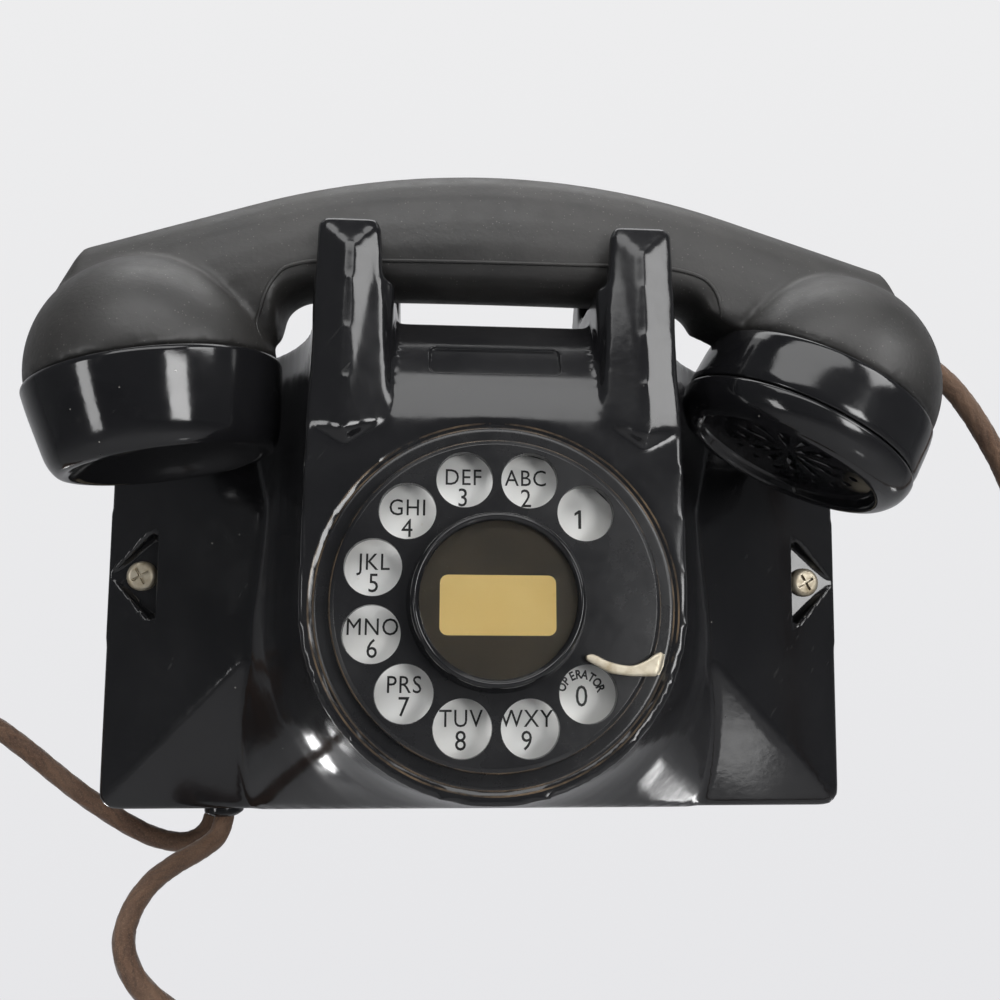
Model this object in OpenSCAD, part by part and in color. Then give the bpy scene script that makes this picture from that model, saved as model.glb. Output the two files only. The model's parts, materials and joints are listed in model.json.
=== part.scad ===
// Wall telephone with a rotary dial on a forward-leaning tower.
// Frame: X to the right, +Y into the wall, front towards -Y, +Z up.
// Origin: on the wall plane, on the centre line, at the box's mid-height.

/* [Box] */
// Width of the wall box
box_w = 216.8; // [215.2:0.4:219.2]
// Height of the wall box
box_h = 131; // [128:1:136]
// Depth of the box's side walls, from the wall to the rim
rim_d = 28; // [27:0.5:31]
// How far the sloping roof runs in from each edge
roof_run = 46; // [42:1:48]
// How far the roof rises over that run
roof_rise = 20; // [18:0.5:22]
// Wall thickness of the moulded housing
wall = 3; // [2.6:0.1:3.4]
// Corner radius of the box outline
corner_r = 5; // [3:0.5:8]
// Distance of each housing screw in from the side of the box
case_screw_in = 9.9; // [9:0.1:11.4]

/* [Tower] */
// Radius of the tower's rounded lower end, and half its width
tower_r = 43.5; // [43:0.1:45]
// Distance from the wall to the tower's face at the dial centre
tower_out = 101.6; // [100:0.2:104]
// Height of the dial centre (below mid-height is negative)
dial_z = -5.2; // [-7:0.2:-4]
// Lean of the tower's face, in degrees, top towards the wall
lean = 5.6; // [4.5:0.1:6.5]
// How much wider the tower gets on each side at its foot
flare = 20; // [16:1:22]
// Height of the shoulder above the dial centre
shoulder_h = 69; // [67:0.2:70]
// Height of the prong tips above the dial centre
prong_h = 91.4; // [90:0.2:92.4]
// How far a prong's ridge stands out of the face
ridge_d = 3.2; // [2.4:0.1:4]

/* [Dial] */
// Radius of the finger wheel
wheel_r = 36.5; // [35.5:0.1:37]
// Radius of the circle on which the finger holes lie
hole_pitch_r = 27.9; // [27:0.1:28.2]
// Radius of each finger hole
finger_r = 6.3; // [5.8:0.1:6.5]
// Height of the wheel's top above the tower face
wheel_top = 4.2; // [4:0.1:5]
// Thickness of the wheel's web
wheel_t = 2.4; // [2:0.1:2.6]
// Outer radius of the ring that holds the number card
card_ring_r = 19.2; // [18.4:0.1:19.6]
// Radius of the dial's flange on the tower face
flange_r = 40.5; // [39.5:0.1:41]
// Depth of the dial's cup behind the face
cup_d = 36; // [35:0.5:38]
// Tooth size (module) of the main gear and its pinion
tooth_m = 0.667; // [0.64:0.001:0.68]

/* [Handset] */
// Distance from the wall to the handset's mid-plane
handset_out = 76; // [75.6:0.1:76.4]
// Height of the top of the handle's arch
arch_z = 103.6; // [102:0.2:105]
// Height of the underside of the handle
grip_z = 71; // [70.5:0.1:72]
// Half the thickness of the handle, front to back
grip_w = 12.4; // [11.6:0.1:12.8]
// Radius of the receiver cap at its seam
ear_r = 30.7; // [30.3:0.1:31]
// Height of the receiver cap
ear_h = 22; // [20:0.5:23]
// Radius of the transmitter collar at its seam
mouth_r = 29.8; // [29.4:0.1:30]
// Height of the transmitter collar
collar_h = 13.6; // [13:0.2:14.2]
// Height of the transmitter cap
mouth_h = 8.6; // [8.4:0.1:9.2]

/* [Cords] */
// Diameter of both cloth-covered cords
cord_d = 5.8; // [5.4:0.1:6.2]

/* [Fixings] */
// Spacing across of the four wall screws
wall_screw_dx = 116; // [112:1:120]
// Spacing up of the four wall screws
wall_screw_dz = 104; // [100:1:106]
// Radius of the wall screw holes
wall_screw_r = 2.75; // [2.4:0.05:3]
// Radius of the house wiring's entry hole
entry_r = 8; // [7:0.1:9]
// Thickness of the steel back plate
plate_t = 1.5; // [1.2:0.1:2]

/* [Hidden] */
$fn = 96;
eps = 0.01;
big = 400;
gap = 0.3;              // between pieces that don't bear on each other
run_fit = 0.05;         // radial clearance of a shaft in its bore
press_fit = 0.02;       // radial clearance of a pin that stays put

// ---- Frames ----
// Dial frame: x across, y up the tower's face, z straight out of the face.
module at_dial() translate([0, -tower_out, dial_z]) rotate([90 - lean, 0, 0]) children();
// A solid drawn in XY and pulled along the wall normal, from y0 towards the room.
module out_of_wall(y0, h) translate([0, -y0, 0]) rotate([90, 0, 0]) linear_extrude(h) children();
// A solid drawn in the Y-Z plane and pulled along X, centred.
module across(w) translate([-w / 2, 0, 0]) rotate([90, 0, 90]) linear_extrude(w) children();
// A cylinder along the wall normal, from y0 towards the room.
module post(x, z, y0, h, r) translate([x, -y0, z]) rotate([90, 0, 0]) cylinder(h = h, r = r);

module round_rect(w, h, r) {
    square([w - 2 * r, h], center = true);
    square([w, h - 2 * r], center = true);
    for (sx = [-1, 1], sy = [-1, 1]) translate([sx * (w / 2 - r), sy * (h / 2 - r)]) circle(r);
}

// ---- Housing ----
roof_s = roof_rise / roof_run;
wall_n = wall * sqrt(1 + roof_s * roof_s);
// The hipped box: two roof profiles crossed. The inner one lies one wall inside.
function roof_outline(half, rim, run, rise) =
    [[-half, 0], [half, 0], [half, -rim], [half - run, -rim - rise], [run - half, -rim - rise], [-half, -rim]];
module hipped(w, h, rim, run) intersection() {
    linear_extrude(h, center = true) polygon(roof_outline(w / 2, rim, run, run * roof_s));
    rotate([0, 90, 0]) linear_extrude(w, center = true)
        polygon(roof_outline(h / 2, rim, run, run * roof_s));
}
rim_in = rim_d + roof_s * wall - wall_n;

// The tower's flank: an arc that leaves the face straight back and widens to its foot.
foot_d = 54.5;
flank_r = (foot_d * foot_d + flare * flare) / (2 * flare);
flank_end = 78;
foot_slope = foot_d / (flank_r - flare);
function flank(d) = d <= foot_d ? flank_r - sqrt(flank_r * flank_r - d * d)
    : flare + foot_slope * (d - foot_d);
function flank_slope(d) = d <= foot_d ? d / sqrt(flank_r * flank_r - d * d) : foot_slope;
function half_width(d, t) = tower_r + flank(d) - t * sqrt(1 + pow(flank_slope(d), 2));
flank_steps = 10;
flank_depths = concat([for (i = [0:flank_steps]) foot_d * i / flank_steps], [flank_end]);
// The shoulder: the face bends back above bend_h and ends at the deck.
bend_h = 38;
bend_r = 46;
function bend_back(h) = h <= bend_h ? 0 : bend_r - sqrt(bend_r * bend_r - pow(h - bend_h, 2));
deck_z = dial_z + shoulder_h * cos(lean);
tower_top = shoulder_h + 9; // before the deck is cut level
module tower_side(t) {
    // Side view in the dial frame: first number up the face, second depth as a negative number
    polygon(concat([[-60, -t], [bend_h, -t]],
        [for (i = [1:10]) let (h = bend_h + (tower_top - bend_h) * i / 10) [h, -bend_back(h) - t]],
        [[tower_top, -flank_end], [-60, -flank_end]]));
}
module tower(t) {
    widths = [for (d = flank_depths) [half_width(max(d, t), t), -d]];
    at_dial() intersection() {
        union() {
            rotate_extrude() polygon(concat([[0, 0]], widths, [[0, -flank_end]]));
            translate([0, tower_top + 1, 0]) rotate([90, 0, 0]) linear_extrude(tower_top + 1)
                polygon(concat(widths, [for (i = [len(widths) - 1:-1:0]) [-widths[i][0], widths[i][1]]]));
        }
        rotate([90, 0, 90]) linear_extrude(big, center = true) tower_side(t);
    }
}
// The tower's underside slopes from the face's lower edge to the box's rim.
face_low_z = dial_z - tower_r * cos(lean);
face_low_y = -tower_out - tower_r * sin(lean);
under_s = (face_low_z + box_h / 2) / (-face_low_y - rim_d);
module under_cut(t) rotate([90, 0, 90]) linear_extrude(big, center = true)
    polygon([[-big, -box_h / 2 + t + under_s * (big - rim_d)], [0, -box_h / 2 + t - under_s * rim_d],
        [0, -big], [-big, -big]]);
module deck_cut(t) translate([-big / 2, -big, deck_z - t]) cube([big, big, big]);

cheek_in = 24.2;
cheek_out = tower_r - 0.3;
prong_in = 27.7;
prong_out = 42.4;
prong_mid = 34.3;
prong_back = handset_out + grip_w + 0.9;
ear_front = handset_out - grip_w - 0.7;
ear_top = 84;
saddle_z = grip_z - gap;
plunger_r = 3;
plunger_x = 34;
function face_y(h) = -tower_out + h * sin(lean);
function face_z(h) = dial_z + h * cos(lean);
// One side of the cradle: the solid saddle and the ear behind the handle
module cheek(s) translate([s * (cheek_in + cheek_out) / 2, 0, 0]) across(cheek_out - cheek_in)
    polygon([[face_y(58) + 3, face_z(50)], [face_y(58) + 3, saddle_z], [-ear_front, saddle_z],
        [-ear_front, ear_top - 2], [-ear_front + 2, ear_top], [-ear_front + 7, ear_top],
        [-ear_front + 10, ear_top - 4], [-ear_front + 22, deck_z - 4], [-ear_front + 22, deck_z - 7]]);
// The prong: a slab behind the face plane with a ridged front
module prong_slab() intersection() {
    at_dial() translate([0, 0, -25]) linear_extrude(25)
        polygon([[cheek_in, 41], [cheek_out, 40], [prong_out, prong_h - 1.5], [prong_out - 1.5, prong_h],
            [prong_in + 1.5, prong_h], [prong_in, prong_h - 1.5]]);
    translate([0, -big - prong_back, 0]) cube([big, big, big]);
}
module prong_ridge() {
    base = [[prong_mid, 35.5], [cheek_out, 40.5], [prong_out, prong_h - 1.5], [prong_out - 1.5, prong_h],
        [prong_in + 1.5, prong_h], [prong_in, prong_h - 1.5], [cheek_in + 0.6, 41.8]];
    n = len(base);
    at_dial() polyhedron(
        points = concat([for (p = base) [p[0], p[1], -1]], [for (p = base) [p[0], p[1], 0]],
            [[prong_mid, 38.5, ridge_d], [prong_mid, prong_h - 8.9, ridge_d]]),
        faces = concat([[for (i = [0:n - 1]) i]],
            [for (i = [0:n - 1]) [n + i, n + (i + 1) % n, (i + 1) % n, i]],
            [[n, 2 * n, n + 1], [n + 1, 2 * n, 2 * n + 1, n + 2], [n + 2, 2 * n + 1, n + 3],
             [n + 3, 2 * n + 1, n + 4], [n + 4, 2 * n + 1, n + 5],
             [n + 5, 2 * n + 1, 2 * n, n + 6], [n + 6, 2 * n, n]]));
}
module prongs() for (s = [0, 1]) mirror([s, 0, 0]) { prong_slab(); prong_ridge(); }

panel_w = 31;
panel_h = 7.6;
panel_at = 58;          // height above the dial centre
panel_deep = 0.7;
module name_panel() at_dial() translate([0, panel_at, -bend_back(panel_at)])
    rotate([-asin((panel_at - bend_h) / bend_r), 0, 0])
        translate([0, 0, -panel_deep]) linear_extrude(6) round_rect(panel_w, panel_h, 1.6);

case_screw_x = box_w / 2 - case_screw_in;
case_screw_z = 1;
pocket_y = rim_d + 0.3;
pocket_in = box_w / 2 - 15.6;
module pocket() out_of_wall(pocket_y, 30)
    polygon([[box_w / 2 - 0.5, case_screw_z], [pocket_in, case_screw_z + 14], [pocket_in, case_screw_z - 14]]);
boss_y = pocket_y - 4;
cup_r = wheel_r - 0.4;
cup_t = 0.8;
flange_t = 1.5;
dial_screw_at = [90, 210, 330];
dial_screw_pitch = flange_r - 2;
dial_screw_r = 1.2;
handset_cord_out = [-74.5, -20];
line_cord_out = [-79.5, -9.3];
cord_r = cord_d / 2;
bushing_r = cord_r + 1.7;
module cord_holes(r) for (p = [handset_cord_out, line_cord_out])
    translate([p[0], p[1], -box_h / 2 - 1]) cylinder(h = wall + 2, r = r);

module housing_outside() {
    intersection() {
        hipped(box_w, box_h, rim_d, roof_run);
        out_of_wall(0, 200) round_rect(box_w, box_h, corner_r);
    }
    difference() {
        union() {
            difference() { tower(0); deck_cut(0); }
            for (s = [-1, 1]) cheek(s);
            prongs();
        }
        under_cut(0);
        translate([-big / 2, 2 - rim_d, -big / 2]) cube(big);
    }
}
module housing_inside() {
    translate([0, eps, 0]) hipped(box_w - 2 * wall, box_h - 2 * wall, rim_in, roof_run - wall);
    difference() {
        tower(wall);
        deck_cut(wall);
        under_cut(wall);
        translate([-big / 2, 2 - rim_in, -big / 2]) cube(big);
    }
}
module housing() color([0.09, 0.09, 0.1]) difference() {
    union() {
        difference() { housing_outside(); housing_inside(); }
        intersection() {
            hipped(box_w - 1, box_h - 1, rim_d - 0.5, roof_run - 0.5);
            for (s = [-1, 1]) translate([s * (pocket_in + 5), -boss_y - 5, case_screw_z])
                cube([16, 10, 34], center = true);
        }
    }
    for (s = [0, 1]) mirror([s, 0, 0]) {
        pocket();
        post(case_screw_x, case_screw_z, 0, 60, screw_r + 0.2);
        translate([plunger_x, -handset_out, deck_z - 20]) cylinder(h = 40, r = plunger_r + run_fit);
    }
    name_panel();
    at_dial() {
        translate([0, 0, -flange_t]) cylinder(h = 20, r = flange_r + 0.15);
        translate([0, 0, -20]) cylinder(h = 40, r = cup_r + gap);
        for (a = dial_screw_at) rotate(a) translate([dial_screw_pitch, 0, -20])
            cylinder(h = 30, r = dial_screw_r + 0.1);
    }
    cord_holes(bushing_r + press_fit);
}

// ---- Back plate and case screws ----
screw_r = 2;
stud_r = 4.5;
entry_x = -66;
plate_w = box_w - 2 * wall - 2 * gap;
plate_h = box_h - 2 * wall - 2 * gap;
module back_plate() color([0.45, 0.46, 0.47]) difference() {
    union() {
        out_of_wall(0, plate_t) round_rect(plate_w, plate_h, 3);
        for (s = [-1, 1]) post(s * case_screw_x, case_screw_z, 0, boss_y, stud_r);
    }
    for (s = [-1, 1]) post(s * case_screw_x, case_screw_z, boss_y - 10, 20, screw_r + press_fit);
    for (sx = [-1, 1], sz = [-1, 1])
        post(sx * wall_screw_dx / 2, sz * wall_screw_dz / 2, -1, plate_t + 2, wall_screw_r);
    post(entry_x, 0, -1, plate_t + 2, entry_r);
}
head_r = 4.3;
head_h = 2.6;
module housing_screws() color([0.62, 0.6, 0.56]) for (s = [-1, 1])
    translate([s * case_screw_x, -pocket_y, case_screw_z]) rotate([90, 0, 0]) difference() {
        union() {
            rotate_extrude() polygon(concat([[0, 0], [head_r, 0]],
                [for (a = [0:15:90]) [head_r - 1.6 + 1.6 * cos(a), 1 + 1.6 * sin(a)]], [[0, head_h]]));
            translate([0, 0, -pocket_y + boss_y - 9]) cylinder(h = pocket_y - boss_y + 9.5, r = screw_r);
        }
        for (a = [30, 120]) rotate(a) translate([-2.6, -0.4, head_h - 1.2]) cube([5.2, 0.8, 2]);
    }

// ---- Dial: what stands still ----
plate_top = -2.5;
enamel_t = 1.2;
ledge_z = plate_top - enamel_t;
floor_t = 1.2;
floor_z = floor_t - cup_d;
frame_top = -9;
frame_t = 1.2;
spindle_r = 3;
pin_r = 1;
pillar_pitch = 31;
pillar_at = [162, 250, 333];
main_teeth = 60;
pinion_teeth = 12;
pinion_y = tooth_m * (main_teeth + pinion_teeth) / 2 + 0.1;
worm_wheel_r = 7.4;
worm_r = 2.4;
governor_y = pinion_y - worm_wheel_r - worm_r - gap;
governor_z = -24.5;
governor_in = 8.5;
module dial_cup() color([0.1, 0.1, 0.11]) at_dial() difference() {
    union() {
        rotate_extrude() polygon([[cup_r - cup_t, 0], [flange_r - 0.5, 0], [flange_r, -0.5],
            [flange_r, -flange_t], [cup_r, -flange_t], [cup_r, -cup_d], [0, -cup_d], [0, floor_z],
            [cup_r - cup_t, floor_z], [cup_r - cup_t, ledge_z - 1], [cup_r - cup_t - 2, ledge_z - 1],
            [cup_r - cup_t - 2, ledge_z], [cup_r - cup_t, ledge_z]]);
    }
    translate([0, 0, -cup_d - 1]) cylinder(h = 5, r = spindle_r + run_fit);
    translate([0, pinion_y, -cup_d - 1]) cylinder(h = 5, r = pin_r + run_fit);
    for (a = dial_screw_at) rotate(a) translate([dial_screw_pitch, 0, -flange_t - 1])
        cylinder(h = 2, r = dial_screw_r + press_fit);
}
module number_plate() color([0.93, 0.92, 0.88]) at_dial() translate([0, 0, ledge_z]) difference() {
    cylinder(h = enamel_t, r = cup_r - cup_t - 0.2);
    translate([0, 0, -1]) cylinder(h = 4, r = spindle_r + 1);
}
stop_t = 1.5;
stop_z = wheel_top + 0.7;
// The finger stop: a bent arm on the flange that reaches in over the wheel
stop_out = wheel_r - 0.6;
module finger_stop() color([0.72, 0.69, 0.62]) at_dial() {
    translate([0, 0, stop_z]) linear_extrude(stop_t) polygon([[19.1, -10.8], [21.9, -12], [26.3, -12.9],
        [30.6, -12], [33.6, -10.6], [stop_out, -10], [stop_out + 0.4, -12.2], [stop_out - 1, -15.4],
        [33.2, -15.2], [30.6, -15.8], [26.3, -15.6], [21.9, -14.1], [19.2, -12.1]]);
    intersection() {
        difference() {
            cylinder(h = stop_z + stop_t, r = flange_r - 0.6);
            translate([0, 0, -1]) cylinder(h = 12, r = wheel_r + gap);
        }
        translate([30, -15, 0]) cube([stop_out + 0.2 - 30, 4.4, 12]);
    }
}
module dial_frame() color([0.6, 0.55, 0.4]) at_dial() difference() {
    union() {
        translate([0, 0, frame_top - frame_t]) cylinder(h = frame_t, r = 34.5);
        translate([14.6, -6, frame_top - 0.2]) cylinder(h = 4, r = 1.2);
    }
    translate([0, 0, -20]) cylinder(h = 20, r = spindle_r + run_fit);
    translate([0, pinion_y, -20]) cylinder(h = 20, r = pin_r + run_fit);
}
module dial_pillars() color([0.66, 0.6, 0.42]) at_dial() for (a = pillar_at) rotate(a)
    translate([pillar_pitch, 0, floor_z]) cylinder(h = frame_top - frame_t - floor_z, r = 2);
module dial_screws() color([0.6, 0.58, 0.5]) at_dial() for (a = dial_screw_at) rotate(a)
    translate([dial_screw_pitch, 0, 0]) {
        translate([0, 0, -wall - 1.6]) cylinder(h = 1.5, r = 1.9);
        translate([0, 0, -wall - 0.6]) cylinder(h = wall, r = dial_screw_r);
    }
// A flat spiral from the spindle out to the frame's stud
spring_turns = 3.4;
function spiral(a, off) = let (r = 4.2 + 10.2 * a / (360 * spring_turns) + off) [r * cos(a), r * sin(a)];
module return_spring() color([0.5, 0.52, 0.55]) at_dial() translate([0, 0, frame_top + 0.3])
    linear_extrude(2.6) polygon(concat([for (a = [0:15:360 * spring_turns - 40]) spiral(a, 0)],
        [for (a = [360 * spring_turns - 40:-15:0]) spiral(a, 0.5)]));
cam_r = 8;
cam_top = -27.5;
module pulse_springs() color([0.75, 0.62, 0.35]) at_dial() {
    translate([-24, -18, floor_z]) cube([8, 10, 10]);
    for (y = [-8.9, -10.7]) translate([-16.5, y, -31]) cube([14.5, 0.4, 4]);
}
// The governor's brake cup and the bearing at the other end of its shaft
bearing_x = -19;
cup_x = 15.5;
cup_len = 9;
module governor_cup() color([0.66, 0.6, 0.42]) at_dial() {
    difference() {
        union() {
            translate([cup_x, governor_y, governor_z]) rotate([0, 90, 0])
                cylinder(h = cup_len + 1.2, r = governor_in + 0.7);
            translate([cup_x + 1, governor_y - 4, floor_z]) cube([8, 8, 4]);
        }
        translate([cup_x - 1, governor_y, governor_z]) rotate([0, 90, 0])
            cylinder(h = cup_len + 1, r = governor_in);
        translate([cup_x, governor_y, governor_z]) rotate([0, 90, 0])
            cylinder(h = 20, r = pin_r + run_fit);
    }
    translate([bearing_x, governor_y - 2.5, floor_z]) cube([cup_x + 3 - bearing_x, 5, 1]);
    difference() {
        translate([bearing_x, governor_y - 2.5, floor_z]) cube([3, 5, governor_z + 3 - floor_z]);
        translate([bearing_x - 1, governor_y, governor_z]) rotate([0, 90, 0])
            cylinder(h = 5, r = pin_r + run_fit);
    }
}

// ---- Dial: what turns ----
hub_r = card_ring_r - 2;
hub_top = 7.6;
module finger_wheel() color([0.07, 0.07, 0.08]) at_dial() difference() {
    rotate_extrude() polygon([[0, wheel_top - wheel_t], [wheel_r - 2.6, wheel_top - wheel_t],
        [wheel_r - 1.6, 0.6], [wheel_r - 0.3, 0.6], [wheel_r, 1], [wheel_r, wheel_top - 1.4],
        [wheel_r - 0.4, wheel_top - 0.5], [wheel_r - 1.3, wheel_top], [hub_r, wheel_top],
        [hub_r, hub_top], [0, hub_top]]);
    for (i = [0:9]) rotate(45 + 30 * i) translate([hole_pitch_r, 0, -1])
        cylinder(h = 10, r = finger_r);
    translate([0, 0, -1]) cylinder(h = wheel_top, r = spindle_r + press_fit);
}
ring_top = 11.2;
card_t = 0.4;
window_t = 1.1;
module card_ring() color([0.06, 0.06, 0.07]) at_dial() rotate_extrude()
    polygon([[hub_r + 0.05, wheel_top], [card_ring_r, wheel_top], [card_ring_r - 0.3, ring_top - 1.6],
        [card_ring_r - 0.8, ring_top - 0.5], [card_ring_r - 1.4, ring_top], [hub_r - 0.2, ring_top - 0.6],
        [hub_r - 0.5, ring_top - 2], [hub_r + 0.05, ring_top - 2]]);
module number_card() color([0.85, 0.72, 0.4]) at_dial() translate([0, 0, hub_top])
    cylinder(h = card_t, r = hub_r - 0.2);
module card_window() color([0.8, 0.8, 0.75, 0.4]) at_dial() translate([0, 0, hub_top + card_t])
    cylinder(h = window_t, r = hub_r - 0.1);
module dial_spindle() color([0.6, 0.6, 0.58]) at_dial() translate([0, 0, -cup_d - 0.5])
    cylinder(h = cup_d + 0.5 + wheel_top - 1, r = spindle_r);
module gear(teeth, thick, bore) {
    pitch_r = tooth_m * teeth / 2;
    step = 360 / teeth;
    difference() {
        linear_extrude(thick) polygon([for (i = [0:teeth - 1]) for (c = [[-0.26, -1.2], [-0.09, 0.85],
            [0.09, 0.85], [0.26, -1.2]]) let (r = pitch_r + tooth_m * c[1], a = step * (i + c[0]))
            [r * cos(a), r * sin(a)]]);
        translate([0, 0, -1]) cylinder(h = thick + 2, r = bore);
    }
}
gear_z = -14;
gear_t = 2;
module main_gear() color([0.72, 0.6, 0.32]) at_dial() translate([0, 0, gear_z])
    gear(main_teeth, gear_t, spindle_r + press_fit);
module pulse_cam() color([0.2, 0.18, 0.16]) at_dial() translate([0, 0, cam_top - 2]) difference() {
    cylinder(h = 2, r = cam_r);
    translate([0, 0, -1]) cylinder(h = 4, r = spindle_r + press_fit);
    for (a = [60:30:330]) rotate(a) translate([cam_r + 0.6, 0, -1]) cylinder(h = 4, r = 1.4);
}
module pinion_wheel() color([0.72, 0.6, 0.32]) at_dial() translate([0, pinion_y, 0]) {
    translate([0, 0, -cup_d]) cylinder(h = cup_d + frame_top, r = pin_r);
    translate([0, 0, gear_z - 0.4]) rotate(180 / pinion_teeth)
        gear(pinion_teeth, gear_t + 0.8, pin_r - 0.2);
    translate([0, 0, governor_z - 1.2]) cylinder(h = 2.4, r = worm_wheel_r);
}
module governor() color([0.7, 0.66, 0.55]) at_dial() translate([0, governor_y, governor_z])
rotate([0, 90, 0]) {
    translate([0, 0, bearing_x - 0.5]) cylinder(h = cup_x + cup_len + 1.2 - bearing_x, r = pin_r);
    translate([0, 0, -6]) cylinder(h = 12, r = worm_r);
    translate([0, 0, cup_x + 1]) cylinder(h = 2, r = 4);
    for (s = [-1, 1]) translate([-2, s * 5.2 - 1.6, cup_x + 1]) cube([4, 3.2, 7]);
    translate([-0.4, -5, cup_x + 1.5]) cube([0.8, 10, 1]);
}

// ---- Ringer ----
coil_x = 13;
coil_y = 14;
coil_r = 8.5;
coil_low = -2;
coil_len = 24;
yoke_t = 3;
pivot_z = -8;
gong_r = 20;
gong_x = 26.5;
gong_z = wall + gong_r + 2.5 - box_h / 2;
gong_back = 11;
gong_h = 12;
gong_t = 1.4;
hammer_r = 3;
pivot_r = 1.2;
strap_y = coil_y + 4;
module ringer_frame() color([0.55, 0.56, 0.56]) {
    difference() {
        union() {
            translate([-30, -plate_t - 2, -14]) cube([60, 2, 42]);
            for (s = [-1, 1]) translate([s * 11 - 1, -strap_y - 1.5, -12.5]) cube([2, strap_y, 3.6]);
            translate([-12, -strap_y - 1.5, -12.5]) cube([24, 1.5, 7.5]);
        }
        translate([0, 1, pivot_z]) rotate([90, 0, 0]) cylinder(h = 30, r = pivot_r + run_fit);
    }
    translate([-22, -coil_y + 5, coil_low + coil_len]) cube([44, coil_y - 5 - plate_t - 1, yoke_t]);
}
module ringer_coils() color([0.45, 0.22, 0.12]) for (s = [-1, 1]) translate([s * coil_x, -coil_y, 0]) {
    translate([0, 0, coil_low + 1.5]) cylinder(h = coil_len - 3, r = coil_r - 0.8);
    for (z = [coil_low, coil_low + coil_len - 1.5]) translate([0, 0, z]) cylinder(h = 1.5, r = coil_r);
}
module ringer_yoke() color([0.5, 0.5, 0.5])
    translate([-22, -coil_y - 5, coil_low + coil_len]) cube([44, 10, yoke_t]);
module ringer_magnet() color([0.35, 0.1, 0.1])
    translate([-3.5, -coil_y - 6, coil_low]) cube([7, 12, coil_len]);
module gongs() color([0.68, 0.6, 0.42]) for (s = [-1, 1]) translate([s * gong_x, 0, gong_z]) {
    rotate([90, 0, 0]) rotate_extrude() polygon([[gong_r, gong_back], [gong_r, gong_back + 5],
        [gong_r - 2, gong_back + 9], [gong_r - 7, gong_back + gong_h], [2.3, gong_back + gong_h],
        [2.3, gong_back + gong_h - gong_t], [gong_r - 7.6, gong_back + gong_h - gong_t],
        [gong_r - 3.2, gong_back + 8.2], [gong_r - gong_t, gong_back + 4.8], [gong_r - gong_t, gong_back]]);
}
module gong_screws() color([0.6, 0.58, 0.52]) for (s = [-1, 1]) {
    post(s * gong_x, gong_z, plate_t, gong_back + gong_h - gong_t - plate_t, 4);
    post(s * gong_x, gong_z, gong_back, gong_h + 1, 2.2);
    post(s * gong_x, gong_z, gong_back + gong_h, 1.8, 4);
}
module clapper() color([0.6, 0.6, 0.6]) {
    translate([0, -plate_t - 0.5, pivot_z]) rotate([90, 0, 0])
        cylinder(h = strap_y + 1.5 - plate_t - 0.5, r = pivot_r);
    translate([0, -plate_t - 3, pivot_z]) rotate([90, 0, 0]) cylinder(h = strap_y - plate_t - 3.5, r = 2.8);
    translate([-20, -coil_y - 2, pivot_z + 1]) cube([40, 4, 2.5]);
    translate([-0.8, -coil_y - 0.8, gong_z + 2]) cube([1.6, 1.6, pivot_z - gong_z - 3]);
    translate([0, -coil_y, gong_z + 2]) sphere(r = hammer_r);
}

// ---- Electrical pieces on the back plate ----
side_x = 40;             // how far out the switch bracket's sides stand
bobbin_out = 16.4;      // in from the side of the box
bobbin_x = side_x + 6;
bobbin_len = box_w / 2 - bobbin_out - bobbin_x;
bobbin_r = 8.5;
bobbin_end = [1.5, 20, 18];
module induction_coil() color([0.5, 0.3, 0.16])
    translate([bobbin_x, -plate_t - 11, box_h / 2 - 31.5]) {
        rotate([0, 90, 0]) translate([0, 0, bobbin_end[0]])
            cylinder(h = bobbin_len - 2 * bobbin_end[0], r = bobbin_r);
        for (x = [0, bobbin_len - bobbin_end[0]]) translate([x, -bobbin_end[2] / 2, -bobbin_end[2] / 2])
            cube(bobbin_end);
    }
condenser_out = 14.4;   // in from the side of the box
condenser_at = [gong_x + gong_r + 5.5, 21.5 - box_h / 2];
condenser_size = [box_w / 2 - condenser_out - condenser_at[0], 18, 32];
module condenser() color([0.55, 0.56, 0.54])
    translate([condenser_at[0], -plate_t - condenser_size[1], condenser_at[1]]) cube(condenser_size);
strap_t = 1;
module condenser_strap() color([0.5, 0.5, 0.5]) {
    x = condenser_at[0] + condenser_size[0] / 2 - 5;
    y = plate_t + condenser_size[1];
    z = condenser_at[1];
    translate([x, -y - strap_t, z - strap_t]) cube([10, strap_t, condenser_size[2] + 2 * strap_t]);
    for (dz = [-strap_t, condenser_size[2]]) translate([x, -y, z + dz])
        cube([10, condenser_size[1], strap_t]);
    translate([x, -plate_t - strap_t, z - 9]) cube([10, strap_t, 8.5]);
}
board_out = 11.4;       // in from the side of the box
board_at = [board_out - box_w / 2, 7, box_h / 2 - 43.5];
board_size = [box_w / 2 - board_out - side_x - 9, 3, 22];
terminal_in = 9;
terminal_pitch = (board_size[0] - 2 * terminal_in) / 3;
terminal_r = 1.3;
module at_terminals() for (i = [0:3], z = [5, board_size[2] - 5])
    translate([board_at[0] + terminal_in + terminal_pitch * i, 0, board_at[2] + z]) children();
module terminal_board() color([0.3, 0.17, 0.1]) difference() {
    union() {
        translate([board_at[0], -board_at[1] - board_size[1], board_at[2]]) cube(board_size);
        for (x = [4, board_size[0] - 4])
            post(board_at[0] + x, board_at[2] + board_size[2] / 2, plate_t, board_at[1] - plate_t, 3);
    }
    at_terminals() post(0, 0, board_at[1] - 1, 6, terminal_r + press_fit);
}
module terminal_screws() color([0.75, 0.65, 0.4]) at_terminals() {
    post(0, 0, board_at[1] + 0.4, board_size[1], terminal_r);
    post(0, 0, board_at[1] + board_size[1], 1.6, 2.8);
}

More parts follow.
